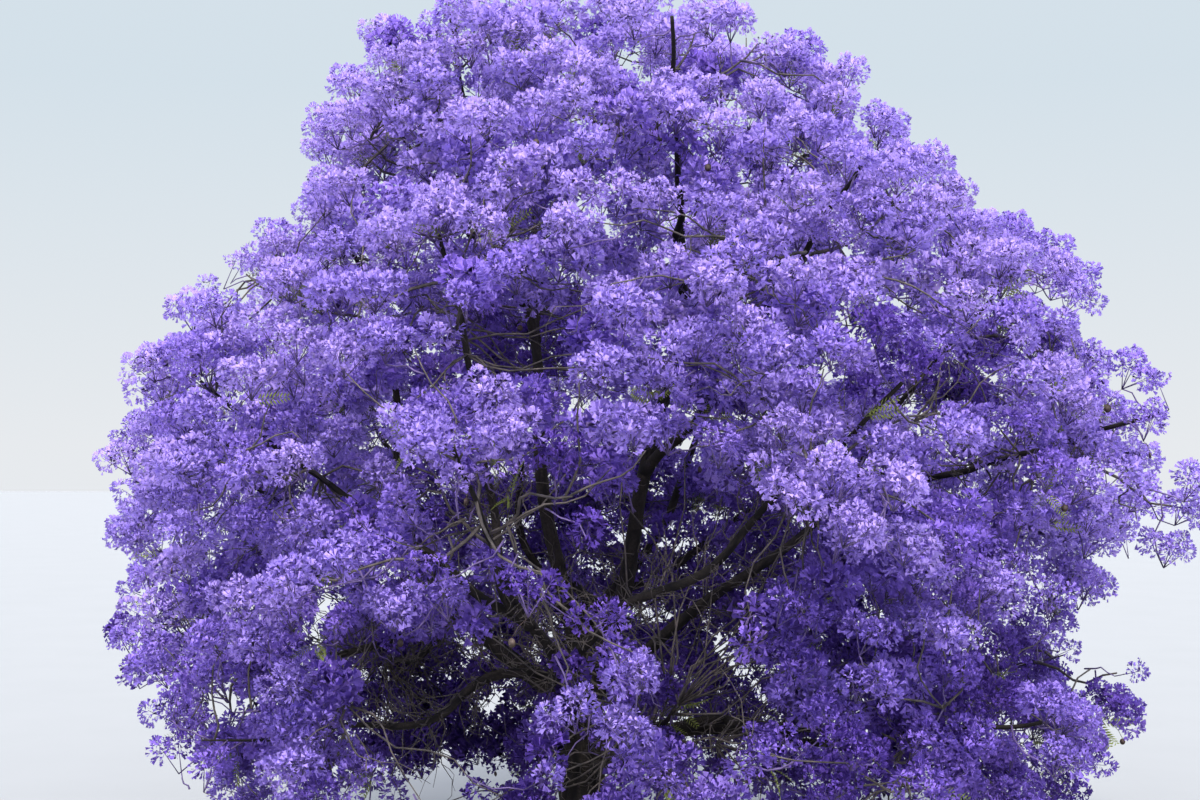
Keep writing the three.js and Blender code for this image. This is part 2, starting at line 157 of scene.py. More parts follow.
SPRAY = SimpleNamespace(
    twigs=5,
    stem_tip=16,
    twig_foot=20,
    twig_tip=13,
    sideways=1.25,
    first_share=0.2,
    last_share=0.62,
    angles=(78, 52),
    turn=0.4,
    shortest=150,
    halves=np.array([640, 540, 320]),
    middle_every=2,
    middle_size=0.84,
    aside=230,
    least=0.5,
    limb_clear=14,
    spare=0.06,
    cell_clear=9,
    lowest=160,
    jitter=0.7,
    stem_roots=(0.7, 0.97),  # between which shares of its stem or twig a spray's own stems leave
    twig_roots=(0.55, 0.95),
    middle_roots=(0.25, 0.5),
    faced_from=0.6,
    vary=0.2,
    turn_vary=0.4,
    stem_wander=0.02,
)
SEEDS = SimpleNamespace(limb=101, tip=20, middle=40)
ROLLS = SimpleNamespace(panicles=11, tints=23, bells=31, twigs=47, leaves=59, pods=61)
DRAW = SimpleNamespace(
    sway=3, first_turn=5, angle=6, size=7, middle_size=8, turn=9, facing=(12, 13, 14), row_turn=2, row_lift=4
)

# Where the rule is carried on to finer twigs: over layers a little inside the crown's outline, wherever no
# spray is near. A layer is so far inside it, with places so far apart, for sprays of a size, so far from any
# other. It may start only above a height.
Layer = namedtuple("Layer", "inside apart size clear above")
LAYERS = [
    Layer(400, 600, 0.68, 540, 0),
    Layer(550, 480, 0.62, 430, 4300),
    Layer(1000, 720, 0.82, 580, 0),
]
LAYER_ROWS = SimpleNamespace(
    samples=400,
    salt=50,  # so that rows draw from different numbers
    turn=0.4,  # how unevenly places lie along a row, and how far they stand above or below it
    lift=0.35,
    narrow=2500,  # where the crown is narrower than this, rows sink by a share of how far inside they are
    sink=0.6,
)
FINER = SimpleNamespace(
    seed=7000,
    least=0.3,
    stiffness=0.62,
    longest=1500,
    inwards=0.8,  # how much it counts against a twig's start that it lies further out than its end
    tip=0.6,
    bare=420,  # a stem's tip gets a spray where the nearest is further away than this
    forks=(0.25, 0.9, 7),
    roots=(0.6, 0.97),
    most_open=0.5,
)

# Sight lines through the crown, from all round. A clump stops a share of the light along those near its
# middle, and one more spray is grown across each line that too much passes along. Lengths are in metres.
SIGHT = SimpleNamespace(
    views=8,
    apart=0.22,  # the grid of places in the trunk's plane that the lines go through, and its ends
    lowest=1.2,
    highest=8.3,
    aside=5.4,
    within=0.86,  # only places within this share of the outline
    wide=0.32,  # a clump's half sizes, and the share that it stops at its middle, outside and deep inside
    tall=0.19,
    dense=(0.7, 0.82),
    most=0.37,  # the most that may pass, and the most behind a hollow
    dark=0.03,
    hollow=0.2,
    inside=0.8,  # the new spray lies within this share of the outline, and in no hollow
    most_open=0.3,
    depth=4.4,
    depths=30,
    tries=6,
    size=0.7,
    panicle=1.15,
    longest=2600,
)

# The crown's outline: how far it reaches from the trunk at each height.
Reach = namedtuple("Reach", "height left right front back")
OUTLINE = [
    Reach(900, 3500, 4800, 3800, 3800),
    Reach(1880, 4250, 5200, 4600, 4500),
    Reach(2800, 4600, 4400, 4700, 4600),
    Reach(3250, 4550, 5300, 4800, 4700),
    Reach(3850, 4500, 5650, 4850, 4750),
    Reach(4500, 4450, 5150, 4800, 4650),
    Reach(5200, 4200, 5000, 4550, 4450),
    Reach(5600, 3450, 4950, 4250, 4200),
    Reach(6500, 2800, 4000, 3600, 3600),
    Reach(7050, 2900, 3450, 3100, 3100),
    Reach(7850, 2700, 2350, 2200, 2200),
    Reach(8300, 1750, 1500, 1500, 1500),
    Reach(8790, 500, 500, 500, 500),
]

# Hollows where the crown is open to its limbs, as the camera sees them: middle and half sizes across and up,
# and how far back they go. Those that go all the way THROUGH let the sky be seen.
THROUGH = 9
Hollow = namedtuple("Hollow", "x z across tall behind")
HOLLOWS = [
    Hollow(-0.75, 5.2, 0.7, 0.42, -0.6),
    Hollow(0.8, 3.1, 1.15, 0.88, -0.6),
    Hollow(-0.7, 3.5, 0.95, 0.42, -0.6),
    Hollow(-1.4, 1.75, 0.95, 0.85, 0.4),
    Hollow(1.1, 1.7, 0.5, 0.6, -0.6),
    Hollow(-0.08, 1.15, 0.3, 0.42, -0.6),
    Hollow(-0.45, 2.35, 0.3, 0.5, -0.6),
    Hollow(3.25, 4.7, 0.5, 0.2, -0.15),
    Hollow(3.8, 5.2, 0.27, 0.3, -0.15),
    Hollow(0.32, 7.9, 0.16, 0.14, THROUGH),
    Hollow(0.56, 7.76, 0.12, 0.1, THROUGH),
    Hollow(1.95, 7.05, 0.18, 0.13, THROUGH),
    Hollow(2.6, 7.25, 0.15, 0.11, THROUGH),
    Hollow(3.9, 4.35, 0.14, 0.12, THROUGH),
    Hollow(-4.5, 1.3, 0.5, 0.95, THROUGH),
    Hollow(-3.95, 1.0, 0.4, 0.4, THROUGH),
    Hollow(-3.5, 1.8, 0.3, 0.25, THROUGH),
    Hollow(-2.65, 2.45, 0.22, 0.14, THROUGH),
    Hollow(5.0, 2.4, 0.5, 0.3, THROUGH),
]
HOLLOW_EDGE = SimpleNamespace(soft=0.45, limbs=1.1)
SKY_GAPS = [hollow for hollow in HOLLOWS if hollow.behind == THROUGH]
IN_SKY = 0.2  # a stem ends, and a twig is left out, where this much of a sky gap is reached

# The photograph's viewpoint, in metres.
CAMERA = SimpleNamespace(x=0.09, distance=16.9, height=4.2, aim=4.65)

GOLDEN_ANGLE = math.pi * (3 - math.sqrt(5))


def unit(v):
    """A vector, or each row of an array, divided by its own length."""
    return v / np.linalg.norm(v, axis=-1, keepdims=True)


def way_apart(way):
    """A way well apart from another, or from each row of an array: RIGHT from a steep one, and else UP."""
    return np.where(np.abs(way[..., 2:]) > STEEP, RIGHT, UP)


def lerp(a, b, t):
    """a at 0, b at 1, and even between them."""
    return a + (b - a) * t


def between(a, b, shares):
    """Points at shares of the way from a to b."""
    return np.array([lerp(a, b, share) for share in shares])


def smooth(low, high, x):
    """0 below low, 1 above high, and 3t² - 2t³ between them."""
    t = np.clip((x - low) / (high - low), 0, 1)
    return t * t * (3 - 2 * t)


def chance(n, salt):
    """A repeatable number from 0 to 1 for a pair of whole numbers.

    It is the fraction of a large multiple of a sine.
    """
    x = np.sin(n * 12.9898 + salt * 78.233) * 43758.5453
    return x - np.floor(x)


class LimbLine:
    """A limb's middle line.

    It is a cubic Bezier curve, plus side times a sine and over times a cosine, which fade as sin² to its
    ends.
    """

    def __init__(self, start, start_way, end, end_way, bend, seed):
        """The curve's four corners, from its ends and their ways, and the size and phase of its sway."""
        reach = np.linalg.norm(end - start)
        handle_1 = start + LINE.start_handle * reach * start_way
        handle_2 = end - LINE.end_handle * reach * end_way
        self.corners = np.array([start, handle_1, handle_2, end])
        way = unit(end - start)
        self.side = unit(np.cross(way, way_apart(way)))
        self.over = unit(np.cross(self.side, way))
        self.amount = bend * reach
        self.phase = chance(seed, DRAW.sway) * 2 * math.pi

    def point(self, t):
        """The point at each share t of the line."""
        t = np.asarray(t, float)[..., None]
        s = 1 - t
        a, b, c, d = self.corners
        bezier = s**3 * a + 3 * s * s * t * b + 3 * s * t * t * c + t**3 * d
        fade = np.sin(math.pi * t) ** 2 * self.amount
        sway = self.side * np.sin(LINE.side_rate * t + self.phase)
        return bezier + fade * (sway + self.over * np.cos(LINE.over_rate * t + self.phase))

    def way(self, t):
        """The direction at each share t: the step between two points close round it."""
        t = np.asarray(t, float)
        return unit(self.point(np.minimum(1, t + WAY_STEP)) - self.point(np.maximum(0, t - WAY_STEP)))


def place_masses():
    """The masses: rings round the crown, and the small inner one."""
    masses = []
    for ring in RINGS:
        number = 0
        for k in range(ring.count):
            angle = ring.turn + 360 / ring.count * k
            if abs((angle + 90 + 180) % 360 - 180) < ring.open:
                continue
            number += 1
            c, s = math.cos(math.radians(angle)), math.sin(math.radians(angle))
            out_x = (ring.right if c > 0 else ring.left) - ring.across
            out_y = (ring.back if s > 0 else ring.front) - ring.across
            lift = ring.step * (1 if k % 2 else -1)
            centre = np.array([out_x * c, out_y * s, ring.height + lift])
            name = f"{ring.name}_{number}"
            masses.append(SimpleNamespace(name=name, centre=centre, across=ring.across, tall=ring.tall))
    centre = np.array([INNER.x, INNER.y, INNER.z], float)
    masses.append(SimpleNamespace(name=INNER.name, centre=centre, across=INNER.across, tall=INNER.tall))
    return masses


def radius_of(limb, share):
    """A limb's radius at a share of its length.

    It is an even taper, and on the trunk a flare that dies away upwards.
    """
    if limb.parent is None:
        straight = lerp(TRUNK.foot_radius, TRUNK.fork_radius, share)
        rounded = np.where(share > 0.999, TRUNK.top_share, 1)
        return straight * rounded * (1 + TRUNK.flare * np.exp(-share * TRUNK.height / TRUNK.flare_height))
    return lerp(limb.foot_radius, limb.tip_radius, share)


def trunk_limb():
    """The trunk: upright at both ends, with one bow of its sag between them."""
    fork = np.array([TRUNK.lean, 0.0, TRUNK.height])
    line = LimbLine(np.zeros(3), UP, fork, UP, 0, 0)
    line.amount = TRUNK.sag
    line.phase = 0
    looks = line.point(np.arange(BOUGH.looks + 1) / BOUGH.looks)
    return SimpleNamespace(
        name="trunk",
        line=line,
        parent=None,
        mass=None,
        path=0,
        span=TRUNK.height,
        load=0,
        looks=looks,
        number=0,
    )


def limb_to(mass, parent, share, outward, upward, number):
    """A limb from a share of its parent's length to just inside a mass."""
    start = parent.line.point(share)
    aim = mass.centre - start
    entry = BOUGH.entry * (mass.across / COMMON_ACROSS)
    end = mass.centre - unit(aim) * entry
    level = unit(np.array([aim[0], aim[1], 0]))
    start_way = unit(level * outward + UP * upward + parent.line.way(share) * BOUGH.onward)
    end_way = unit(unit(mass.centre - end) + UP * BOUGH.rise)
    line = LimbLine(start, start_way, end, end_way, BOUGH.wander, number)
    span = np.linalg.norm(end - start)
    return SimpleNamespace(
        name=f"bough_{mass.name}",
        line=line,
        parent=parent,
        share=share,
        mass=mass,
        load=0,
        number=number,
        leader=False,
        span=span,
        path=parent.path + share * parent.span + span,
        looks=line.point(np.arange(BOUGH.looks + 1) / BOUGH.looks),
    )


def keeps_clear(limb, limbs):
    """Whether a limb keeps clear of all the others past its own fork."""
    for other in limbs:
        start = BOUGH.parent_free_from if other is limb.parent else BOUGH.free_from
        own = limb.looks[math.ceil(BOUGH.looks * start) :]
        if np.linalg.norm(own[:, None] - other.looks, axis=-1).min() <= BOUGH.clear:
            return False
    return True


def ways_to(waiting, limbs, forks):
    """Every way from a limb's forks to a waiting mass, the cheapest first."""
    ways = []
    for parent in limbs:
        if parent.mass is not None and parent.mass.name == INNER.name:
            continue
        starts, heads = parent.line.point(forks), parent.line.way(forks)
        for mass in waiting:
            if parent.parent is None and mass.name != INNER.name:
                continue
            aims = mass.centre - starts
            lengths = np.linalg.norm(aims, axis=-1)
            turns = np.sum(aims * heads, axis=-1) / lengths
            paths = parent.path + forks * parent.span
            costs = lengths * (1 + BOUGH.bending * (1 - turns)) + BOUGH.detour * paths
            for cost, turn, share in zip(costs, turns, forks):
                if parent.parent is None or turn >= BOUGH.steepest:
                    ways.append((cost, mass, parent, share))
    return sorted(ways, key=lambda way: way[0])


def grow_limbs(masses):
    """Every limb: the trunk, its leaders, then each other bough from the limb that suits it best."""
    limbs = [trunk_limb()]
    by_name = {mass.name: mass for mass in masses}
    for row in LEADERS:
        limb = limb_to(by_name[row.mass], limbs[0], row.at, row.outward, row.upward, len(limbs))
        limb.leader = True
        limbs.append(limb)
    waiting = [mass for mass in masses if mass.name not in {row.mass for row in LEADERS}]
    forks = lerp(BOUGH.first_fork, BOUGH.last_fork, np.arange(BOUGH.fork_steps + 1) / BOUGH.fork_steps)
    while waiting:
        for _cost, mass, parent, share in ways_to(waiting, limbs, forks):
            limb = limb_to(mass, parent, share, BOUGH.outward, BOUGH.upward, len(limbs))
            if keeps_clear(limb, limbs):
                break
        else:
            raise RuntimeError("no clear way to " + " ".join(mass.name for mass in waiting))
        limbs.append(limb)
        waiting = [mass for mass in waiting if mass is not limb.mass]
    for limb in limbs[1:]:
        up = limb
        while up is not None:
            up.load += 1
            up = up.parent
    for limb in limbs[1:]:
        limb.tip_radius = BOUGH.tip_radius
        own = BOUGH.foot_radius * limb.load**BOUGH.load_power
        limb.foot_radius = min(own, BOUGH.narrowing * float(radius_of(limb.parent, limb.share)))
    return limbs


def fan_way(way, angle, turn):
    """A direction at an angle from a way and a turn round it."""
    side = unit(np.cross(way, way_apart(way)))
    over = unit(np.cross(side, way))
    return way * math.cos(angle) + (side * math.cos(turn) + over * math.sin(turn)) * math.sin(angle)


def to_borders(p, mass, others):
    """How far a point is from the planes halfway between its mass and the others."""
    centres = np.array([other.centre for other in others])
    apart = np.linalg.norm(centres - mass.centre, axis=-1)
    return (np.sum((p - centres) ** 2, axis=-1) - np.sum((p - mass.centre) ** 2)) / (2 * apart)


def clear_of_limbs(start, end, radius, limbs):
    """Whether a straight piece keeps clear of every limb."""
    along = end - start
    for limb in limbs:
        t = np.clip((limb.looks - start) @ along / (along @ along), 0, 1)
        away = np.linalg.norm(start + t[:, None] * along - limb.looks, axis=-1)
        limit = radius + radius_of(limb, np.arange(BOUGH.looks + 1) / BOUGH.looks) + SPRAY.limb_clear
        if (away <= limit).any():
            return False
    return True


def spray_at(middle, facing, spin, size):
    """A pad that faces one way, with half sizes along three ways."""
    side = fan_way(facing, math.pi / 2, spin)
    over = unit(np.cross(facing, side))
    ways = np.array([side, over, facing])
    return SimpleNamespace(middle=middle, ways=ways, halves=SPRAY.halves * size, panicle=1.0, seed=spin)


def facing_at(middle, number):
    """The way a spray faces: away from the crown's heart, varied a little."""
    jitter = np.array([chance(number, draw) - 0.5 for draw in DRAW.facing])
    return unit(unit(middle - UP * CROWN_HEART) + jitter * SPRAY.jitter)


def reach_along(spray, way):
    """How far a spray's pad reaches along a way: the farthest of its six corners."""
    return np.max(np.abs(spray.ways @ way) * spray.halves)


def fitting_share(spray, mass, others):
    """The share of a spray's size at which it stays in its mass's own space and off the ground."""
    share = min(1, (spray.middle[2] - SPRAY.lowest) / reach_along(spray, UP))
    rooms = to_borders(spray.middle, mass, others) - SPRAY.cell_clear
    for other, room in zip(others, rooms):
        share = min(share, room / reach_along(spray, unit(other.centre - mass.centre)))
    return share


def spray_clear(spray, limbs):
    """Whether a spray keeps clear of every limb."""
    for limb in limbs:
        radii = radius_of(limb, np.arange(BOUGH.looks + 1) / BOUGH.looks)
        slack = math.sqrt(3) * (radii + SPRAY.limb_clear)
        away = np.abs((limb.looks - spray.middle) @ spray.ways.T)
        size = np.sum(away / (spray.halves + slack[:, None]), axis=-1)
        if (size <= 1 + SPRAY.spare).any():
            return False
    return True


def room_along(mass, way, others):
    """How far a mass's space reaches from its middle along a way."""
    out = unit(np.array([mass.centre[0], mass.centre[1], 0]))
    outward = way @ out / mass.across
    sideways = (way[0] * out[1] - way[1] * out[0]) / (mass.across * SPRAY.sideways)
    room = 1 / math.sqrt(outward**2 + sideways**2 + (way[2] / mass.tall) ** 2)
    for other in others:
        apart = other.centre - mass.centre
        if way @ apart > 0:
            room = min(room, apart @ apart / 2 / (way @ apart))
    return room


def grow_mass(mass, limb, masses, limbs):
    """A mass's stem, twigs and sprays by the source's rule."""
    seed = limb.number * SEEDS.limb
    way = limb.line.way(1)
    bulk = math.sqrt(mass.across / COMMON_ACROSS)
    others = [other for other in masses if other is not mass]
    other_limbs = [other for other in limbs if other is not limb]
    twigs, sprays = [], []

    def spray_for(middle, number, size):
        """A spray whose size follows its mass's."""
        return spray_at(middle, facing_at(middle, number), number, size * bulk)

    def place_along(out, number, size):
        """The place along a way where a spray just reaches the end of the mass's room."""
        room = room_along(mass, out, others)
        there = mass.centre + out * SPRAY.faced_from * room
        reach = room - reach_along(spray_for(there, number, size), out)
        return mass.centre + out * max(reach, SPRAY.shortest)

    def add_spray(middle, number, size, roots):
        """Keep a spray, shrunk to fit, if it is large enough and clear of the limbs."""
        share = fitting_share(spray_for(middle, number, size), mass, others)
        spray = spray_for(middle, number, size * share)
        if share * size > SPRAY.least and spray_clear(spray, limbs):
            spray.roots = roots
            sprays.append(spray)

    def varied(number, draw):
        """A factor near 1 by chance."""
        return 1 + SPRAY.vary * (chance(number, draw) - 0.5)

    start = limb.line.point(1) + way * GAP
    end = place_along(way, seed, 1)
    stem = LimbLine(start, way, end, way, SPRAY.stem_wander, seed)
    add_spray(end, seed, 1, stem.point(SPRAY.stem_roots))
    first_turn = chance(seed, DRAW.first_turn) * 2 * math.pi
    for k in range(SPRAY.twigs):
        fork = stem.point(lerp(SPRAY.first_share, SPRAY.last_share, k / (SPRAY.twigs - 1)))
        angle = math.radians(SPRAY.angles[k % 2]) * varied(seed + k, DRAW.angle)
        step = k + SPRAY.turn_vary * chance(seed + k, DRAW.turn)
        out = fan_way(way, angle, first_turn + step * SPRAY.turn * 2 * math.pi)
        size = varied(seed + k, DRAW.size)
        tip = place_along(out, seed + SEEDS.tip + k, size)
        in_space = tip[2] >= SPRAY.lowest and (to_borders(tip, mass, others) > SPRAY.cell_clear).all()
        if not in_space or not clear_of_limbs(fork, tip, SPRAY.twig_foot, other_limbs):
            continue
        twigs.append(SimpleNamespace(start=fork, end=tip, fine=1))
        add_spray(tip, seed + SEEDS.tip + k, size, between(fork, tip, SPRAY.twig_roots))
        if k % SPRAY.middle_every:
            continue
        side = unit(np.cross(unit(tip - fork), way))
        middle = lerp(fork, tip, 0.5) + side * SPRAY.aside
        size = SPRAY.middle_size * varied(seed + k, DRAW.middle_size)
        add_spray(middle, seed + SEEDS.middle + k, size, between(fork, tip, SPRAY.middle_roots))
    return SimpleNamespace(mass=mass, limb=limb, stem=stem, twigs=twigs, sprays=sprays)


def reaches_at(height):
    """How far the outline reaches to the left, right, front and back at a height, even between its rows."""
    heights = [row.height for row in OUTLINE]
    return [
        np.interp(height, heights, [getattr(row, way) for row in OUTLINE])
        for way in ("left", "right", "front", "back")
    ]


def layer_places(layer):
    """Places over a layer inside the crown's outline, in level rows.

    The outline is an ellipse in each quarter. Rows are apart along its height and slope, and so are the
    places in a row.
    """
    fine = np.linspace(OUTLINE[0].height, OUTLINE[-1].height, LAYER_ROWS.samples)
    outline = np.array(reaches_at(fine))
    slope = np.hypot(np.diff(outline.mean(axis=0)), np.diff(fine))
    length = np.concatenate([[0], np.cumsum(slope)])
    places = []
    for row, at in enumerate(np.arange(0, length[-1], layer.apart)):
        left, right, front, back = (np.interp(at, length, reach) for reach in outline)
        middle = (left + right + front + back) / 4
        count = max(1, round(2 * math.pi * max(middle - layer.inside, 0) / layer.apart))
        numbers = row * LAYER_ROWS.salt + np.arange(count)
        turn = LAYER_ROWS.turn * (chance(numbers, DRAW.row_turn) - 0.5)
        angle = 2 * math.pi * (np.arange(count) + 0.5 * (row % 2) + turn) / count
        c, s = np.cos(angle), np.sin(angle)
        inwards = np.maximum(0, 1 - layer.inside / middle)
        x = np.where(c > 0, right, left) * c * inwards
        y = np.where(s > 0, back, front) * s * inwards
        sink = layer.inside * LAYER_ROWS.sink if middle < LAYER_ROWS.narrow else 0
        lift = layer.apart * LAYER_ROWS.lift * (chance(numbers, DRAW.row_lift) - 0.5)
        z = np.interp(at, length, fine) - sink + lift
        places.append(np.column_stack([x, y, z]))
    return np.concatenate(places)


def grow_finer(limbs, grown):
    """Finer twigs with smaller sprays, each from the nearest twig or stem that is further in."""
    middles = [spray.middle for row in grown for spray in row.sprays]
    shares = np.linspace(*FINER.forks)
    bases, owners = [], []
    for row in grown:
        bases.append(row.stem.point(shares))
        bases += [lerp(twig.start, twig.end, shares[:, None]) for twig in row.twigs]
        owners += [row] * (len(shares) * (1 + len(row.twigs)))
    bases = np.concatenate(bases)
    heart = UP * CROWN_HEART
    depths = np.linalg.norm(bases - heart, axis=-1)

    def grow(place, facing, number, size, panicle, longest):
        """A spray at a place with its twig, if it fits."""
        spray = spray_at(place, facing, number, size)
        fitting = min(1, (place[2] - SPRAY.lowest) / reach_along(spray, UP))
        if fitting * size < FINER.least or not spray_clear(spray, limbs):
            return None
        reach = np.linalg.norm(bases - place, axis=-1)
        outer = np.maximum(0, depths - np.linalg.norm(place - heart))
        nearest = (reach + FINER.inwards * outer).argmin()
        if reach[nearest] > longest:
            return None
        start = bases[nearest]
        spray.halves = spray.halves * fitting
        spray.panicle = panicle
        spray.roots = between(start, place, FINER.roots)
        owners[nearest].twigs.append(SimpleNamespace(start=start, end=place, fine=FINER.stiffness))
        owners[nearest].sprays.append(spray)
        middles.append(place)
        return spray

    for row in grown:
        tip = row.stem.point(1)
        if np.linalg.norm(middles - tip, axis=-1).min() > FINER.bare:
            spray = spray_at(tip, facing_at(tip, row.limb.number), row.limb.number, FINER.tip)
            spray.roots = row.stem.point(SPRAY.stem_roots)
            row.sprays.append(spray)
            middles.append(tip)
    number = FINER.seed
    for layer in LAYERS:
        for place in layer_places(layer):
            number += 1
            if place[2] < layer.above or in_hollow(place * MM, HOLLOW_EDGE.limbs) > FINER.most_open:
                continue
            if np.linalg.norm(middles - place, axis=-1).min() < layer.clear:
                continue
            size = layer.size * (1 + SPRAY.vary * (chance(number, DRAW.size) - 0.5))
            grow(place, facing_at(place, number), number, size, 1.0, FINER.longest)
    sprays = [spray for row in grown for spray in row.sprays]
    for view in range(SIGHT.views):
        eye, ways, depths_in, most = sight_lines(view)
        passing = sum((stopped(eye, ways, spray) for spray in sprays), -most)
        while passing.max() > 0:
            number += 1
            line = passing.argmax()
            passing[line] = -np.inf
            places = eye + ways[line] * depths_in[:, None]
            kept = in_hollow(places, HOLLOW_EDGE.limbs) < SIGHT.most_open
            places = places[kept & ~outside(places, SIGHT.inside)] / MM
            if not len(places):
                continue
            room = np.linalg.norm(places[:, None] - np.array(middles), axis=-1).min(axis=1)
            for place in places[np.argsort(-room)[: SIGHT.tries]]:
                facing = unit(facing_at(place, number) - ways[line])
                spray = grow(place, facing, number, SIGHT.size, SIGHT.panicle, SIGHT.longest)
                if spray:
                    sprays.append(spray)
                    passing += stopped(eye, ways, spray)
                    break


def sight_lines(view):
    """An eye as far off as the camera, and its lines.

    It gives the lines' ways to a grid on the upright plane through the trunk, how far along them new sprays
    may lie, and the logarithm of the most that may pass along each.
    """
    turn = 2 * math.pi * view / SIGHT.views
    across = np.array([math.cos(turn), math.sin(turn), 0])
    eye = np.cross(across, UP) * CAMERA.distance + across * CAMERA.x + UP * CAMERA.height
    aside = np.arange(-SIGHT.aside, SIGHT.aside, SIGHT.apart)
    heights = np.arange(SIGHT.lowest, SIGHT.highest, SIGHT.apart)
    grid = (across * aside[:, None])[:, None] + UP * heights[:, None]
    grid = grid.reshape(-1, 3)
    grid = grid[~outside(grid, SIGHT.within)]
    depths = CAMERA.distance + np.linspace(-SIGHT.depth, SIGHT.depth, SIGHT.depths)
    hollow = (in_hollow(grid, THROUGH) > SIGHT.hollow) & (view == 0)
    return eye, unit(grid - eye), depths, np.log(np.where(hollow, SIGHT.dark, SIGHT.most))


def stopped(eye, ways, spray):
    """The logarithm of what a spray's clumps let pass along each sight line.

    A clump is an ellipsoid, and r is how far from its middle the line passes as a share of its half sizes.
    It stops a share that falls as 1 - r².
    """
    away = clumps_of(spray) - eye
    aside = away - (ways @ away.T)[..., None] * ways[:, None]
    size = spray.panicle
    across = np.hypot(aside[..., 0], aside[..., 1])
    r = np.hypot(across / SIGHT.wide, aside[..., 2] / SIGHT.tall) / size
    return np.log(1 - SIGHT.dense[size > 1] * np.maximum(0, 1 - r * r)).sum(axis=1)


def in_hollow(places, further=0.0, rows=HOLLOWS):
    """From 0 outside some hollows to 1 well inside one, for places in metres, and so much further back.

    A place is carried along the camera's line of sight to the upright plane through the trunk first. There,
    a hollow is an ellipse with a soft edge.
    """
    eye = np.array([CAMERA.x, -CAMERA.distance, CAMERA.height])
    away = places - eye
    seen = eye + away * (CAMERA.distance / away[..., 1:2])
    inside = 0
    for hollow in rows:
        across = (seen[..., 0] - hollow.x) / hollow.across
        r = np.hypot(across, (seen[..., 2] - hollow.z) / hollow.tall)
        near = places[..., 1] < hollow.behind + further
        inside = np.maximum(inside, near * (1 - smooth(1 - HOLLOW_EDGE.soft, 1 + HOLLOW_EDGE.soft, r)))
    return inside


@functools.cache
def grown_tree():
    """The limbs, and what each mass grew."""
    masses = place_masses()
    limbs = grow_limbs(masses)
    grown = [grow_mass(limb.mass, limb, masses, limbs) for limb in limbs[1:]]
    grow_finer(limbs, grown)
    return SimpleNamespace(limbs=limbs, grown=grown)


def mass_names():
    """The names of the masses in the frame."""
    return ["mass_" + grown.mass.name for grown in grown_tree().grown]


# Meshes worked out with arrays


def new_piece(name, points, faces, material, is_smooth=True):
    """A piece from an array of points and arrays of faces, one array to each number of corners."""
    mesh = bpy.data.meshes.new(name)
    mesh.vertices.add(len(points))
    mesh.vertices.foreach_set("co", np.asarray(points, np.float32).ravel())
    corners = np.concatenate([rows.ravel() for rows in faces]).astype(np.int32)
    counts = np.concatenate([np.full(len(rows), rows.shape[1]) for rows in faces])
    mesh.loops.add(len(corners))
    mesh.loops.foreach_set("vertex_index", corners)
    mesh.polygons.add(len(counts))
    mesh.polygons.foreach_set("loop_start", (np.cumsum(counts) - counts).astype(np.int32))
    mesh.polygons.foreach_set("use_smooth", np.full(len(counts), is_smooth))
    mesh.update(calc_edges=True)
    mesh.materials.append(material)
    piece = bpy.data.objects.new(name, mesh)
    bpy.context.scene.collection.objects.link(piece)
    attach(piece, "root")
    return piece


def tube_points(paths, radii, sides):
    """Rings along many paths at once.

    A ring is its path's point plus the radius times (across cos a + over sin a). across is one normal of the
    whole path, made square to the way at each point, and over is the way times across.
    """
    ways = unit(np.gradient(paths, axis=1))
    chords = unit(paths[:, -1] - paths[:, 0])
    normals = unit(np.cross(chords, way_apart(chords)))[:, None]
    across = unit(normals - ways * np.sum(normals * ways, axis=-1, keepdims=True))
    over = np.cross(ways, across)
    angles = 2 * math.pi * np.arange(sides) / sides
    c, s = np.cos(angles)[:, None], np.sin(angles)[:, None]
    if np.ndim(radii) == 2:
        radii = np.asarray(radii)[..., None]
    radii = np.broadcast_to(radii, (*paths.shape[:2], sides))
    return paths[:, :, None] + radii[..., None] * (across[:, :, None] * c + over[:, :, None] * s)


def tube_faces(count, rings, sides):
    """The four-cornered walls and the end caps of many tubes, facing outwards."""
    tube = np.arange(count)[:, None, None] * rings * sides
    ring = np.arange(rings - 1)[:, None] * sides
    around = np.arange(sides)
    here = tube + ring + around
    beside = tube + ring + (around + 1) % sides
    walls = np.stack([here, beside, beside + sides, here + sides], axis=-1).reshape(-1, 4)
    first = tube[:, 0] + around[::-1]
    last = tube[:, 0] + (rings - 1) * sides + around
    return [walls, np.concatenate([first, last])]


def join_tubes(groups):
    """The points and faces of several sets of tubes together."""
    points, faces, offset = [], [], 0
    for paths, radii, sides in groups:
        rings = tube_points(paths, radii, sides)
        faces += [rows + offset for rows in tube_faces(len(paths), paths.shape[1], sides)]
        points.append(rings.reshape(-1, 3))
        offset += points[-1].shape[0]
    return np.concatenate(points), faces


def lattice(i, j, k):
    """A repeatable number from -1 to 1 for each corner of a lattice.

    The bits of its three whole numbers are mixed by large odd factors and shifts.
    """
    h = i.astype(np.int64) * 73856093 ^ j.astype(np.int64) * 19349663 ^ k.astype(np.int64) * 83492791
    h = (h & 0xFFFFFFFF) * 2654435761 & 0xFFFFFFFF
    h = (h ^ h >> 15) * 2246822519 & 0xFFFFFFFF
    return ((h ^ h >> 13) & 0xFFFF) / 32767.5 - 1


def noise(place):
    """Smooth values between -1 and 1 over space.

    The eight lattice numbers round a place are eased into each other by 3t² - 2t³.
    """
    low = np.floor(place).astype(np.int64)
    t = place - low
    t = t * t * (3 - 2 * t)
    total = 0
    for corner in np.ndindex(2, 2, 2):
        weight = np.prod(np.where(np.array(corner) == 1, t, 1 - t), axis=-1)
        total = total + weight * lattice(*np.moveaxis(low + corner, -1, 0))
    return total


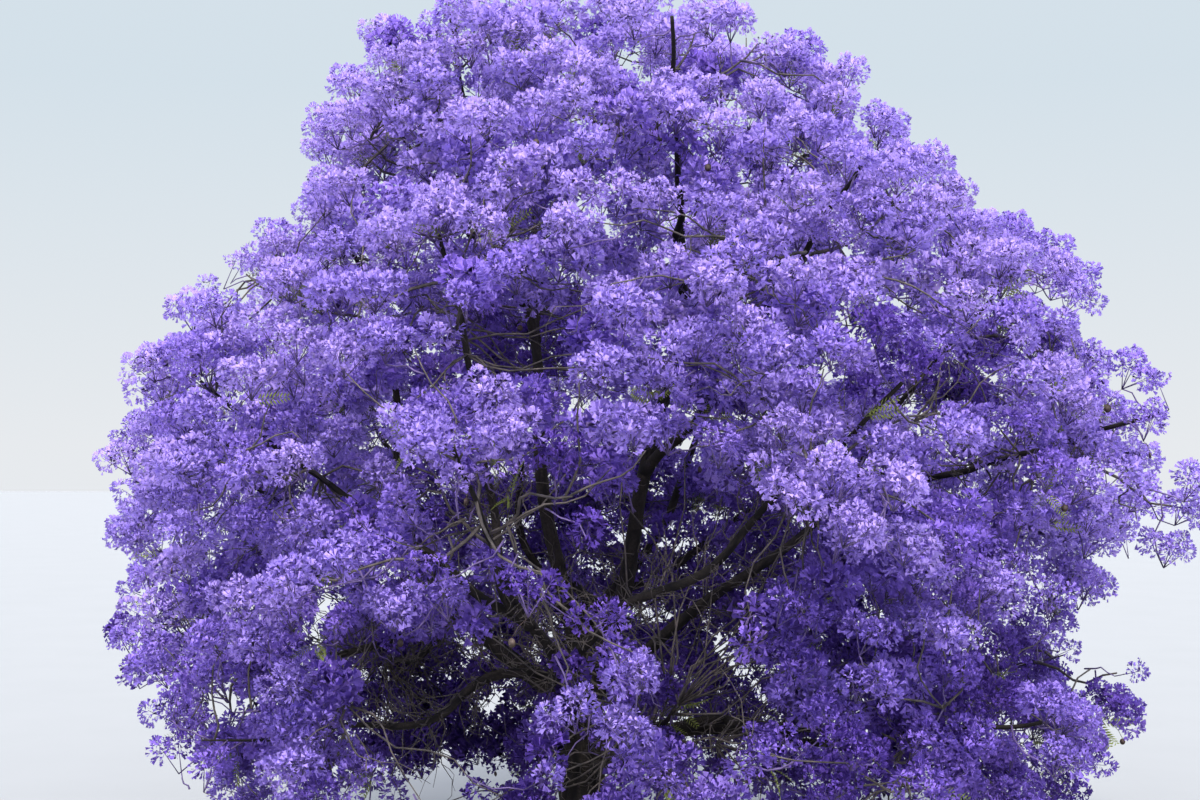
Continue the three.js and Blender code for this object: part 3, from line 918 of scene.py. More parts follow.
# Bark: how many waves of noise go to a metre, twice across and once along a limb, how wide the slopes of
# furrows and cracks are, how high a fine furrow's and a crack's floor is, and how far the furrows wander.
# Each noise is taken from another part of its space. A limb's surface stands at LEVEL.
BARK = SimpleNamespace(
    wander=(5, 5, 2.5),
    aside=(0.9, 0.9, 0),
    deep=(13, 13, 2.6),
    deep_slope=0.34,
    fine=(31, 31, 7),
    fine_place=40,
    fine_slope=0.3,
    fine_floor=0.55,
    cracks=(9, 9, 11),
    crack_place=80,
    crack_slope=0.16,
    crack_floor=0.75,
    level=0.7,
)


def bark_height(place):
    """Bark from 0 in a furrow to 1 on a ridge: furrows lie where stretched noise passes through nought.

    place is metres across, across and along a limb, so that the furrows follow it. The deep furrows, the
    fine ones and the cracks across them are multiplied.
    """
    wander = noise(place * BARK.wander)[..., None] * BARK.aside
    deep = np.abs(noise(place * BARK.deep + wander))
    fine = np.abs(noise(place * BARK.fine + BARK.fine_place + wander))
    cracks = np.abs(noise(place * BARK.cracks + BARK.crack_place))
    fine = BARK.fine_floor + (1 - BARK.fine_floor) * smooth(0, BARK.fine_slope, fine)
    cracks = BARK.crack_floor + (1 - BARK.crack_floor) * smooth(0, BARK.crack_slope, cracks)
    return smooth(0, BARK.deep_slope, deep) * fine * cracks


# Materials


def add_node(tree, kind, values=None, **settings):
    """A node with its settings, and its inputs set or linked by name or place."""
    node = tree.nodes.new(kind)
    for name, value in settings.items():
        setattr(node, name, value)
    for name, value in (values or {}).items():
        if isinstance(value, bpy.types.NodeSocket):
            tree.links.new(value, node.inputs[name])
        else:
            node.inputs[name].default_value = value
    return node


def blank_material(name):
    """A material with its Principled shader, and that shader."""
    material = bpy.data.materials.new(name)
    material.use_nodes = True
    return material, material.node_tree.nodes["Principled BSDF"]


def mottle_group():
    """A node group: soft patches from 0 to 1 on a place, of a given scale and contrast."""
    name = "mottle"
    if name in bpy.data.node_groups:
        return bpy.data.node_groups[name]
    group = bpy.data.node_groups.new(name, "ShaderNodeTree")
    group.interface.new_socket("Place", in_out="INPUT", socket_type="NodeSocketVector")
    group.interface.new_socket("Scale", in_out="INPUT", socket_type="NodeSocketFloat")
    group.interface.new_socket("Contrast", in_out="INPUT", socket_type="NodeSocketFloat")
    group.interface.new_socket("Mask", in_out="OUTPUT", socket_type="NodeSocketFloat")
    start = add_node(group, "NodeGroupInput")
    cloud = add_node(
        group,
        "ShaderNodeTexNoise",
        {"Vector": start.outputs["Place"], "Scale": start.outputs["Scale"], "Detail": 3.0, "Roughness": 0.6},
    )
    centred = add_node(group, "ShaderNodeMath", {0: cloud.outputs["Fac"], 1: 0.5}, operation="SUBTRACT")
    spread = add_node(
        group,
        "ShaderNodeMath",
        {0: centred.outputs[0], 1: start.outputs["Contrast"], 2: 0.5},
        operation="MULTIPLY_ADD",
        use_clamp=True,
    )
    add_node(group, "NodeGroupOutput", {"Mask": spread.outputs[0]})
    return group


def mottle(tree, place, scale, contrast):
    """The mask of a mottle group placed in a material."""
    node = add_node(tree, "ShaderNodeGroup", node_tree=mottle_group())
    tree.links.new(place, node.inputs["Place"])
    node.inputs["Scale"].default_value = scale
    node.inputs["Contrast"].default_value = contrast
    return node.outputs["Mask"]


def blend_colours(tree, mask, low, high):
    """Two colours mixed by a mask."""
    node = add_node(tree, "ShaderNodeMix", {"Factor": mask}, data_type="RGBA")
    for socket, value in ((node.inputs[6], low), (node.inputs[7], high)):
        if isinstance(value, bpy.types.NodeSocket):
            tree.links.new(value, socket)
        else:
            socket.default_value = (*value, 1.0)
    return node.outputs[2]


def bumped(tree, height, strength, distance):
    """The normal of a surface with fine relief."""
    values = {"Height": height, "Strength": strength, "Distance": distance}
    return add_node(tree, "ShaderNodeBump", values).outputs["Normal"]


@functools.cache
def bark_material():
    """Brown bark in colours darkened as painted shade of the crown, darker still in the furrows as painted
    shade there, greyer on the ridges, with pale worn patches and a fine grain.
    """
    settings = bpy.context.scene.jacaranda_bark
    material, shader = blank_material("rough_bark")
    tree = material.node_tree
    place = add_node(tree, "ShaderNodeAttribute", attribute_name="bark_place").outputs["Vector"]
    height = add_node(tree, "ShaderNodeAttribute", attribute_name="bark_height").outputs["Fac"]
    patches = mottle(tree, place, scale=5.0, contrast=3.0)
    grain = mottle(tree, place, scale=60.0, contrast=2.4)
    ridge = blend_colours(tree, patches, settings.ridge, settings.worn)
    # Painted shade in the furrows: where the bark is low its colour goes over to the darker furrow colour;
    # the fine grain that is multiplied in is the bark's own.
    grain_and_furrow_shade = add_node(tree, "ShaderNodeMath", {0: height, 1: grain}, operation="MULTIPLY").outputs[0]
    lifted = add_node(tree, "ShaderNodeMath", {0: grain_and_furrow_shade, 1: 1.5}, operation="MULTIPLY", use_clamp=True)
    colour = blend_colours(tree, lifted.outputs[0], settings.furrow, ridge)
    tree.links.new(colour, shader.inputs["Base Color"])
    tree.links.new(bumped(tree, grain, strength=0.5, distance=0.004), shader.inputs["Normal"])
    shader.inputs["Roughness"].default_value = 0.9
    shader.inputs["Specular IOR Level"].default_value = 0.25
    return material


def mottled_material(name, dark, light, scale, contrast, roughness, bump=0.0, through=0.0, shine=None):
    """A matt surface that varies softly between two colours, and lets a share of the light through."""
    material, shader = blank_material(name)
    tree = material.node_tree
    place = add_node(tree, "ShaderNodeTexCoord").outputs["Object"]
    mask = mottle(tree, place, scale, contrast)
    colour = blend_colours(tree, mask, dark, light)
    tree.links.new(colour, shader.inputs["Base Color"])
    if through:
        backlit = add_node(tree, "ShaderNodeBsdfTranslucent", {"Color": colour})
        inputs = {0: through, 1: shader.outputs[0], 2: backlit.outputs[0]}
        mixed = add_node(tree, "ShaderNodeMixShader", inputs)
        tree.links.new(mixed.outputs[0], tree.nodes["Material Output"].inputs["Surface"])
    if bump:
        tree.links.new(bumped(tree, mask, strength=0.6, distance=bump), shader.inputs["Normal"])
    if shine is not None:
        shader.inputs["Specular IOR Level"].default_value = shine
    shader.inputs["Roughness"].default_value = roughness
    return material


# What a user would change


def colour_property(name, description, default):
    """A colour that a user would change."""
    return bpy.props.FloatVectorProperty(
        name=name, description=description, default=default, subtype="COLOR", size=3, min=0, max=1
    )


def length_property(name, description, default):
    """A length in metres that a user would change."""
    return bpy.props.FloatProperty(
        name=name, description=description, default=default, min=0, unit="LENGTH", subtype="DISTANCE"
    )


class BarkSettings(bpy.types.PropertyGroup):
    """Bark of the trunk, the boughs and the twigs"""

    relief: length_property("Relief", "Depth of the trunk's furrows", 0.016)
    # Painted shade: these bark colours are darkened to near black, far below bark's own, to stand in for the
    # shade inside the crown; the furrow colour is darker still as painted shade in the furrows.
    furrow: colour_property("Furrow", "Colour deep in a furrow", (0.005, 0.0038, 0.0034))
    ridge: colour_property("Ridge", "Colour of the ridges", (0.0135, 0.0102, 0.008))
    worn: colour_property("Worn", "Colour of worn, paler ridges", (0.031, 0.024, 0.0185))
    twig_dark: colour_property("Twig shade", "Darker colour of the twigs", (0.024, 0.019, 0.016))
    twig_light: colour_property("Twig light", "Lighter colour of the twigs", (0.095, 0.076, 0.064))
    stalk_dark: colour_property("Stalk shade", "Darker colour of the flower stalks", (0.05, 0.03, 0.095))
    stalk_light: colour_property("Stalk light", "Lighter colour of the flower stalks", (0.13, 0.085, 0.22))


class BlossomSettings(bpy.types.PropertyGroup):
    """Blossom, leaves and pods"""

    panicle_length: length_property("Panicle length", "From the lowest bell to the tip", 0.18)
    panicle_width: length_property("Panicle width", "Across the widest bells", 0.24)
    bell_length: length_property("Bell length", "From stalk to mouth", 0.042)
    bell_width: length_property("Bell width", "Across the open mouth", 0.042)
    # Lighter and darker copies of the blossom's colour: beside its own uneven tone, the pale ones are
    # painted light on sprays high up and towards the light, the deep ones painted shade on sprays in
    # hollows, deep inside and low at the right.
    pale: colour_property("Pale", "Blossom of the brightest sprays", (0.56, 0.405, 0.97))
    lilac: colour_property("Lilac", "Blossom of bright sprays", (0.485, 0.345, 0.93))
    violet: colour_property("Violet", "Blossom of most sprays", (0.405, 0.272, 0.86))
    deep: colour_property("Deep", "Blossom of shaded sprays", (0.31, 0.19, 0.74))
    indigo: colour_property("Indigo", "Blossom of the deepest sprays", (0.16, 0.085, 0.46))
    leaf: colour_property("Leaf", "First leaves of the year", (0.17, 0.2, 0.035))
    pod: colour_property("Pod", "Last year's pods", (0.045, 0.026, 0.018))


class StageSettings(bpy.types.PropertyGroup):
    """Floor, light and camera"""

    floor: colour_property("Floor", "Colour of the floor", (0.2, 0.2, 0.198))
    backdrop: colour_property("Backdrop", "Colour behind the tree", (0.66, 0.75, 0.82))
    horizon: colour_property("Horizon", "Colour where the backdrop meets the floor", (0.8, 0.825, 0.855))
    sun_strength: bpy.props.FloatProperty(name="Sun", description="Strength of the sun", default=5.2, min=0)
    sky_strength: bpy.props.FloatProperty(name="Sky", description="Light from the sky", default=2.62, min=0)
    camera_distance: length_property("Camera distance", "From the trunk to the camera", CAMERA.distance)
    camera_height: length_property("Camera height", "Eye level", CAMERA.height)
    view_angle: bpy.props.FloatProperty(
        name="View angle", description="Across the picture", default=math.radians(37.6), subtype="ANGLE"
    )


# Limbs


# A collar widens a bough where it leaves its parent, by a share of its own radius, over so many radii.
COLLAR = SimpleNamespace(swell=0.4, length=2.2)


def limb_path(limb, steps):
    """Points and radii of a limb in metres, widened into its parent by a collar that dies away."""
    t = np.arange(steps + 1) / steps
    points = limb.line.point(t) * MM
    radii = radius_of(limb, t) * MM
    if limb.parent is not None:
        inside = float(radius_of(limb.parent, limb.share)) * MM
        beyond = np.maximum(0, t * limb.span * MM - 0.5 * inside)
        radii = radii * (1 + COLLAR.swell * np.exp(-beyond / (COLLAR.length * radii[0])))
    return points, radii


TRUNK_MESH = SimpleNamespace(
    below=0.08,  # how far the rings go on under the ground, before they are cut level
    voxel=0.0165,
    sides=60,
    steps=60,
    leader_sides=28,
    soften=8,
    looks=120,  # places along a limb that its bark is measured from
    thinnest=0.03,
    shift=(3.1, 1.7, 5.3),  # how far apart the bark of two limbs is taken
    relief=0.09,  # the most relief, as a share of the radius
    crotch=0.35,  # the share of it that is left in a crotch, and how far out it is full again
)


def trunk_rings():
    """The trunk's rings: each radius is widened by ribs round the foot that die away upwards."""
    limb = grown_tree().limbs[0]
    t = np.arange(TRUNK_MESH.steps + 1) / TRUNK_MESH.steps
    points = limb.line.point(t) * MM
    foot = points[0] - UP * TRUNK_MESH.below
    paths = np.concatenate([foot[None], points])[None]
    shares = np.concatenate([[0], t])
    angles = 2 * math.pi * np.arange(TRUNK_MESH.sides) / TRUNK_MESH.sides
    fade = np.exp(-shares * TRUNK.height / TRUNK.flare_height)[:, None]
    ribs = 1 + TRUNK.rib_depth * fade * np.cos(TRUNK.ribs * angles)
    return paths, (radius_of(limb, shares)[:, None] * MM * ribs)[None]


def nearest_limbs(points, limbs):
    """For each point: the limb-bound place of its bark, its limb's radius, and how far it is from a crotch.

    Distances to every sample of a limb's line are divided by the radius there. The least of them names the
    limb, and the next limb's least over that one tells how near the crotch between the two is.
    """
    shares = np.arange(TRUNK_MESH.looks + 1) / TRUNK_MESH.looks
    best = np.full((len(limbs), len(points)), np.inf)
    found = []
    for row, limb in enumerate(limbs):
        line = limb.line.point(shares) * MM
        radii = np.maximum(radius_of(limb, shares) * MM, TRUNK_MESH.thinnest)
        apart = np.linalg.norm(points[:, None] - line, axis=-1) / radii
        index = apart.argmin(axis=1)
        best[row] = apart[np.arange(len(points)), index]
        way = limb.line.way(0.5)
        side = unit(np.cross(way, way_apart(way)))
        over = np.cross(way, side)
        away = points - line[index]
        along = index / TRUNK_MESH.looks * limb.span * MM
        along = along + np.sum(away * limb.line.way(shares)[index], axis=-1)
        shift = [step * row for step in TRUNK_MESH.shift]
        place = np.stack([away @ side, away @ over, along], axis=-1) + shift
        found.append((place, radii[index]))
    order = np.argsort(best, axis=0)
    pick = order[0], np.arange(len(points))
    places = np.array([place for place, _radii in found])[pick]
    radii = np.array([radii for _place, radii in found])[pick]
    crotch = best[order[1], np.arange(len(points))] / best[pick] - 1
    return places, radii, crotch


def softened(points, edges, rounds):
    """Each point moved halfway to the middle of its neighbours, so many times."""
    degree = np.bincount(edges.ravel(), minlength=len(points))[:, None]
    for _round in range(rounds):
        total = np.zeros_like(points)
        for axis in range(3):
            total[:, axis] = np.bincount(edges[:, 0], points[edges[:, 1], axis], len(points))
            total[:, axis] += np.bincount(edges[:, 1], points[edges[:, 0], axis], len(points))
        points = lerp(points, total / np.maximum(degree, 1), 0.5)
    return points


def store_bark(mesh, places, heights):
    """The bark's place and height as attributes that its material reads."""
    place = mesh.attributes.new("bark_place", "FLOAT_VECTOR", "POINT")
    place.data.foreach_set("vector", places.astype(np.float32).ravel())
    height = mesh.attributes.new("bark_height", "FLOAT", "POINT")
    height.data.foreach_set("value", heights.astype(np.float32))


def read_vectors(data, name):
    """An array of a mesh's vectors, one row to each point."""
    rows = np.empty(len(data) * 3, np.float32)
    data.foreach_get(name, rows)
    return rows.reshape(-1, 3)


class JACARANDA_OT_trunk(bpy.types.Operator):
    """Make the trunk and its leaders as one skin with bark"""

    bl_idname = "jacaranda.trunk"
    bl_label = "Trunk and leaders"

    def execute(self, context):
        settings = context.scene.jacaranda_bark
        limbs = [limb for limb in grown_tree().limbs if limb.parent is None or limb.leader]
        groups = [(*trunk_rings(), TRUNK_MESH.sides)]
        for limb in limbs[1:]:
            points, radii = limb_path(limb, TRUNK_MESH.steps)
            groups.append((points[None], radii[None], TRUNK_MESH.leader_sides))
        points, faces = join_tubes(groups)
        piece = new_piece("trunk_skin", points, faces, bark_material())
        joined = piece.modifiers.new("joined", "REMESH")
        joined.mode = "VOXEL"
        joined.voxel_size = TRUNK_MESH.voxel
        mesh = bpy.data.meshes.new_from_object(piece.evaluated_get(context.evaluated_depsgraph_get()))
        piece.modifiers.clear()
        mesh.materials.clear()
        mesh.materials.append(piece.data.materials[0])
        piece.data = mesh
        edges = np.empty(len(mesh.edges) * 2, np.int32)
        mesh.edges.foreach_get("vertices", edges)
        points = read_vectors(mesh.vertices, "co").astype(float)
        points = softened(points, edges.reshape(-1, 2), TRUNK_MESH.soften)
        mesh.vertices.foreach_set("co", points.astype(np.float32).ravel())
        mesh.update()
        normals = read_vectors(mesh.vertex_normals, "vector")
        places, radii, crotch = nearest_limbs(points, limbs)
        heights = bark_height(places)
        depth = np.minimum(settings.relief, TRUNK_MESH.relief * radii)
        depth = depth * lerp(TRUNK_MESH.crotch, 1, smooth(0, TRUNK_MESH.crotch, crotch))
        points += normals * ((heights - BARK.level) * depth)[:, None]
        points[:, 2] = np.maximum(points[:, 2], 0)
        mesh.vertices.foreach_set("co", points.astype(np.float32).ravel())
        mesh.polygons.foreach_set("use_smooth", np.full(len(mesh.polygons), True))
        mesh.update()
        store_bark(mesh, places, heights)
        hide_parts(*[limb.name for limb in limbs])
        return {"FINISHED"}


BOUGH_MESH = SimpleNamespace(
    sides=18,
    steps=70,
    stem_sides=10,
    stem_steps=26,
    rooted=40,  # how many millimetres of a stem lie inside its bough's end
    cut=0.4,  # how thin a stem that ends at a sky gap is there, as a share of another's tip
    lump=0.07,
    lumps=(4, 4, 2.5),
    shift=7.7,
    relief=0.1,
)


class JACARANDA_OT_boughs(bpy.types.Operator):
    """Make the other boughs, and the stem that each bough goes on to inside its mass"""

    bl_idname = "jacaranda.boughs"
    bl_label = "Boughs"

    def execute(self, context):
        settings = context.scene.jacaranda_bark
        tree = grown_tree()
        rows = [limb for limb in tree.limbs[1:] if not limb.leader]
        parts = [(*limb_path(limb, BOUGH_MESH.steps), BOUGH_MESH.sides) for limb in rows]
        for grown in tree.grown:
            share = np.arange(BOUGH_MESH.stem_steps + 1) / BOUGH_MESH.stem_steps
            in_sky = in_hollow(grown.stem.point(share) * MM, rows=SKY_GAPS) > IN_SKY
            t = share * (share[in_sky.argmax()] if in_sky.any() else 1)
            way = grown.limb.line.way(1) * BOUGH_MESH.rooted * MM
            points = np.concatenate([[grown.stem.point(0) * MM - way], grown.stem.point(t) * MM])
            tip = SPRAY.stem_tip * (BOUGH_MESH.cut if in_sky.any() else 1)
            radii = lerp(BOUGH.tip_radius, tip, np.concatenate([[0], share])) * MM
            parts.append((points, radii, BOUGH_MESH.stem_sides))
        all_points, all_faces, all_places, all_heights, offset = [], [], [], [], 0
        for number, (points, radii, sides) in enumerate(parts):
            steps = len(points)
            along = np.concatenate([[0], np.cumsum(np.linalg.norm(np.diff(points, axis=0), axis=-1))])
            angles = 2 * math.pi * np.arange(sides) / sides
            shape = (steps, sides)
            around = radii[:, None, None] * np.stack([np.cos(angles), np.sin(angles)], axis=-1)
            places = np.concatenate([around, np.broadcast_to(along[:, None, None], (*shape, 1))], axis=-1)
            places = places + BOUGH_MESH.shift * number
            heights = bark_height(places)
            lumps = 1 + BOUGH_MESH.lump * noise(places * BOUGH_MESH.lumps)
            deep = np.minimum(settings.relief, BOUGH_MESH.relief * radii)[:, None]
            ring_radii = radii[:, None] * lumps + (heights - BARK.level) * deep
            rings = tube_points(points[None], ring_radii[None], sides)
            all_points.append(rings.reshape(-1, 3))
            all_faces += [rows + offset for rows in tube_faces(1, steps, sides)]
            all_places.append(places.reshape(-1, 3))
            all_heights.append(heights.ravel())
            offset += steps * sides
        piece = new_piece("boughs", np.concatenate(all_points), all_faces, bark_material())
        store_bark(piece.data, np.concatenate(all_places), np.concatenate(all_heights))
        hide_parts(*[limb.name for limb in rows])
        return {"FINISHED"}


# Sprays


CLUMPS = SimpleNamespace(
    each=3.3,  # clumps in a spray of full size
    spread=0.74,  # how far out in the spray they lie, as a share of its half sizes
    dome=0.8,  # how high the dome stands over the spray's middle, how far it sinks, and how uneven it is
    sink=0.25,
    uneven=0.5,
    fewest=4,  # panicles in a clump
    most=6,
    radius=(0.1, 0.175),  # how far they stand from the one in the middle, which is itself a little off
    off=0.02,
    turn=0.4,  # how unevenly they stand round it
    flat=1.25,  # a clump is this much longer one way
    crest=0.06,  # how much its middle stands up, and how unevenly
    rough=0.02,
    lean=0.55,  # how much it leans out
    tilt=0.22,
    open=0.75,  # how much its panicles lean away from each other, and how unevenly
    astray=0.15,
    sizes=(0.8, 1.2),
    stem=0.2,  # how far below a clump's middle its panicles' stalks meet
    heart=0.03,  # how far below a clump's middle its soft form is centred
    outside=1.04,  # panicles lie within this share of the outline
    proud=0.08,  # and no further than this past the solids' box
    hem=0.75,  # the lowest panicles
    ragged=0.3,  # and how much higher they end in some sprays
)


def clumps_of(spray):
    """The middles of a spray's clumps in metres.

    They lie on a spiral of the golden angle on a dome, number j of m at the root of (j + 1/2) / m from the
    middle.
    """
    rng = np.random.default_rng(spray.seed)
    size = spray.halves[0] / SPRAY.halves[0]
    count = max(1, round(CLUMPS.each * size**2 / spray.panicle))
    j = np.arange(count)
    share = np.sqrt((j + 0.5) / count) * CLUMPS.spread
    angle = GOLDEN_ANGLE * j + rng.uniform(0, 2 * math.pi)
    lift = CLUMPS.dome * (1 - share**2) - CLUMPS.sink + rng.uniform(-CLUMPS.uneven, CLUMPS.uneven, count)
    local = np.column_stack([share * np.cos(angle), share * np.sin(angle), lift]) * spray.halves
    return (spray.middle + local @ spray.ways) * MM


@functools.cache
def all_sprays():
    """The sprays of all the masses, in order."""
    return [spray for grown in grown_tree().grown for spray in grown.sprays]


@functools.cache
def panicles():
    """Every panicle: its place, axis, size, spray, stalk's base and clump's heart, and every clump's stem.

    In a clump, one panicle stands in the middle and the others in a ring round it, all leaning apart.
    """
    rng = np.random.default_rng(ROLLS.panicles)
    rows, stems = [], []
    for number, spray in enumerate(all_sprays()):
        hem = CLUMPS.hem + CLUMPS.ragged * chance(number, 0)
        middles = clumps_of(spray)
        for clump, middle in enumerate(middles):
            up = unit(UP + CLUMPS.lean * spray.ways[2] + rng.normal(0, CLUMPS.tilt, 3))
            side = unit(np.cross(up, rng.normal(size=3)))
            over = np.cross(up, side)
            many = rng.integers(CLUMPS.fewest, CLUMPS.most + 1)
            turn = 2 * math.pi * (np.arange(many) + rng.uniform(0, CLUMPS.turn, many)) / (many - 1)
            out = rng.uniform(*CLUMPS.radius, many) * spray.panicle
            out[0] = CLUMPS.off
            radial = side * np.cos(turn)[:, None] * CLUMPS.flat + over * np.sin(turn)[:, None]
            crest = CLUMPS.crest * (1 - out / CLUMPS.radius[1]) + rng.normal(0, CLUMPS.rough, many)
            places = middle + radial * out[:, None] + up * crest[:, None]
            lean = np.minimum(out / CLUMPS.radius[0], 1)[:, None] * CLUMPS.open
            axes = unit(up + radial * lean + rng.normal(0, CLUMPS.astray, (many, 3)))
            sizes = rng.uniform(*CLUMPS.sizes, many) * spray.panicle
            base = middle - up * CLUMPS.stem
            kept = (rng.uniform(0, 1, many) > in_hollow(places)) & ~outside(places, CLUMPS.outside)
            kept &= places[:, 2] > hem
            bases = np.broadcast_to(base, places.shape)
            hearts = np.broadcast_to(middle - up * CLUMPS.heart, places.shape)
            row = (places, axes, sizes, np.full(many, number), bases, hearts)
            rows.append([column[kept] for column in row])
            if kept.any():
                root = lerp(spray.roots[0], spray.roots[1], (clump + 0.5) / len(middles)) * MM
                stems.append((root, base))
    return [np.concatenate(column) for column in zip(*rows)], np.array(stems)


def outside(places, share):
    """Whether places in metres lie outside a share of the crown's outline, or past the solids' box.

    At each height the outline is an ellipse in each quarter.
    """
    low, high = np.array(CAD_BOX) + [[-CLUMPS.proud], [CLUMPS.proud]]
    past = ((places < low) | (places > high)).any(axis=-1)
    left, right, front, back = reaches_at(places[..., 2] / MM)
    x = places[..., 0] / MM / np.where(places[..., 0] > 0, right, left)
    y = places[..., 1] / MM / np.where(places[..., 1] > 0, back, front)
    return (np.hypot(x, y) > share) | (places[..., 2] > OUTLINE[-1].height * MM) | past


BELLS = SimpleNamespace(
    kinds=((57, 1.06), (42, 1.4)),  # how many in a panicle and how large, outside and deep inside
    vary=(0.65, 1.15),
    width_vary=(0.9, 1.1),
    templates=12,
    corners=5,
    lobes=(-1.65, -0.4, 0.4, 1.65),  # the angles of a mouth's corners
    step=(0.2, 0.8),  # where in its own step up the rachis a bell is
    turn=0.35,
    egg=(0.12, 0.84, 0.8),  # an egg's profile: where in a sine's half wave, how far on, and its bulge
    depth=(0.5, 1.08),
    way=(-0.5, 0.9),  # how much a bell points up, low and high in its panicle, and how unevenly
    facing=(-0.2, 1.2),  # and its back
    astray=0.5,
    round=1.0,  # what a normal is made of: the clump's soft form, the bell's own way, and its curl
    own=0.14,
    curl=0.2,
    squash=3.0,  # how many times steeper than on a ball the soft form's normals are
)


def panicle_templates(rng, settings, count, bells, scale):
    """Panicles of bells about a rachis along +Z, as points in shape (count, bells, 5, 3).

    Bell i is at the golden angle times i round the rachis, at a height even in i, and as far out as an egg's
    profile is wide there. A bell is half a cone in two lobes: its foot, and four corners of its mouth.
    """
    i = (np.arange(bells) + rng.uniform(*BELLS.step, (count, bells))) / bells
    angle = GOLDEN_ANGLE * np.arange(bells) + rng.normal(0, BELLS.turn, (count, bells))
    start, share, bulge = BELLS.egg
    out = np.sin(math.pi * (start + share * i) ** bulge) * rng.uniform(*BELLS.depth, (count, bells))
    radial = np.stack([np.cos(angle), np.sin(angle), np.zeros_like(angle)], axis=-1)
    middles = radial * (out * settings.panicle_width / 2)[..., None]
    middles[..., 2] = (i - 0.5) * settings.panicle_length
    i = i[..., None]
    ways = unit(radial + UP * lerp(*BELLS.way, i) + rng.normal(0, BELLS.astray, middles.shape))
    outer = radial + UP * lerp(*BELLS.facing, i) + rng.normal(0, BELLS.astray, middles.shape)
    over = unit(np.cross(ways, outer))
    side = np.cross(over, ways)
    sizes = scale * rng.uniform(*BELLS.vary, (count, bells, 1))
    long = settings.bell_length * sizes
    wide = settings.bell_width / 2 * sizes * rng.uniform(*BELLS.width_vary, (count, bells, 1))
    mouth = middles + ways * long / 2
    corners = [mouth + wide * (side * math.cos(a) + over * math.sin(a)) for a in BELLS.lobes]
    return np.stack([middles - ways * long / 2, *corners], axis=2)


def bell_faces(count):
    """The two lobes of each bell: triangles of its foot and two corners of its mouth."""
    foot = np.arange(count)[:, None] * BELLS.corners
    k = np.arange(2)
    return np.stack([foot + 0 * k, foot + 1 + 2 * k, foot + 2 + 2 * k], axis=-1).reshape(-1, 3)


def soft_normals(points, hearts):
    """Normals of bells that shade a clump as one soft form.

    A bell's normal is that of an ellipsoid round the clump's heart, turned in part to the way from the
    bell's foot to its mouth, and at each corner in part to the way from the bell's own middle.
    """
    middles = points.mean(axis=2, keepdims=True)
    away = middles - hearts[:, None, None]
    away[..., 2] *= BELLS.squash
    own = unit(points[:, :, 1:].mean(axis=2, keepdims=True) - points[:, :, :1])
    return unit(BELLS.round * unit(away) + BELLS.own * own + BELLS.curl * unit(points - middles))


def turned(templates, which, axes, spins, sizes):
    """Copies of templates, with +Z turned to an axis and spun round it, each at its size."""
    side = unit(np.cross(way_apart(axes), axes))
    over = np.cross(axes, side)
    c, s = np.cos(spins)[:, None], np.sin(spins)[:, None]
    basis = np.stack([side * c + over * s, over * c - side * s, axes], axis=1) * sizes[:, None, None]
    return np.einsum("nbcj,njk->nbck", templates[which], basis)


# The five tints are lighter and darker copies of the blossom's colour: partly its own uneven tone, and
# partly painted light and shade dealt out by tint_of_sprays.
TINTS = ("pale", "lilac", "violet", "deep", "indigo")
LIGHT_WAY = unit(np.array([-0.1, -0.6, 1.0]))

TONE_AND_PAINTED_LIGHT = SimpleNamespace(
    facing=0.4,  # painted light that makes a spray's tone brighter: facing the light and height in metres; and chance, its own uneven tone
    height=0.07,
    chance=0.25,
    hollow=0.9,  # and painted shade that makes it darker: lying in a hollow, deep in the crown, or low at the right
    deep=0.3,
    painted_shade_low_right=0.45,
    right=(1.0, 2.6),  # where that begins and where it is full, to the right and downwards in metres
    low=(-3.1, -2.1),
)


def is_deep():
    """Which sprays lie deep in the crown, where panicles are fewer and larger."""
    return np.array([spray.panicle > 1 for spray in all_sprays()])


def tint_of_sprays():
    """A tint for each spray in five even shares of bells: brighter up high and towards the light as painted
    light, darker in hollows, deep inside and low at the right as painted shade.
    """
    sprays = all_sprays()
    middles = np.array([spray.middle for spray in sprays]) * MM
    facing = np.array([spray.ways[2] for spray in sprays])
    rng = np.random.default_rng(ROLLS.tints)
    # Painted light: brighter towards the light and higher up; the chance term is the blossom's own uneven
    # tone.
    tone_with_painted_light = TONE_AND_PAINTED_LIGHT.facing * facing @ LIGHT_WAY + TONE_AND_PAINTED_LIGHT.height * middles[:, 2]
    tone_with_painted_light += rng.normal(0, TONE_AND_PAINTED_LIGHT.chance, len(sprays))
    # Painted shade: darker in hollows, deep in the crown and low at the right.
    tone_with_painted_light -= TONE_AND_PAINTED_LIGHT.hollow * in_hollow(middles, THROUGH) + TONE_AND_PAINTED_LIGHT.deep * is_deep()
    tone_with_painted_light -= TONE_AND_PAINTED_LIGHT.painted_shade_low_right * smooth(*TONE_AND_PAINTED_LIGHT.right, middles[:, 0]) * smooth(*TONE_AND_PAINTED_LIGHT.low, -middles[:, 2])
    bells = np.array(BELLS.kinds)[is_deep().astype(int), 0]
    counts = np.bincount(panicles()[0][3], minlength=len(sprays)) * bells
    order = np.argsort(-tone_with_painted_light)
    reached = np.cumsum(counts[order]) - counts[order] / 2
    tints = np.empty(len(sprays), int)
    tints[order] = np.minimum(reached * len(TINTS) / counts.sum(), len(TINTS) - 1).astype(int)
    return tints


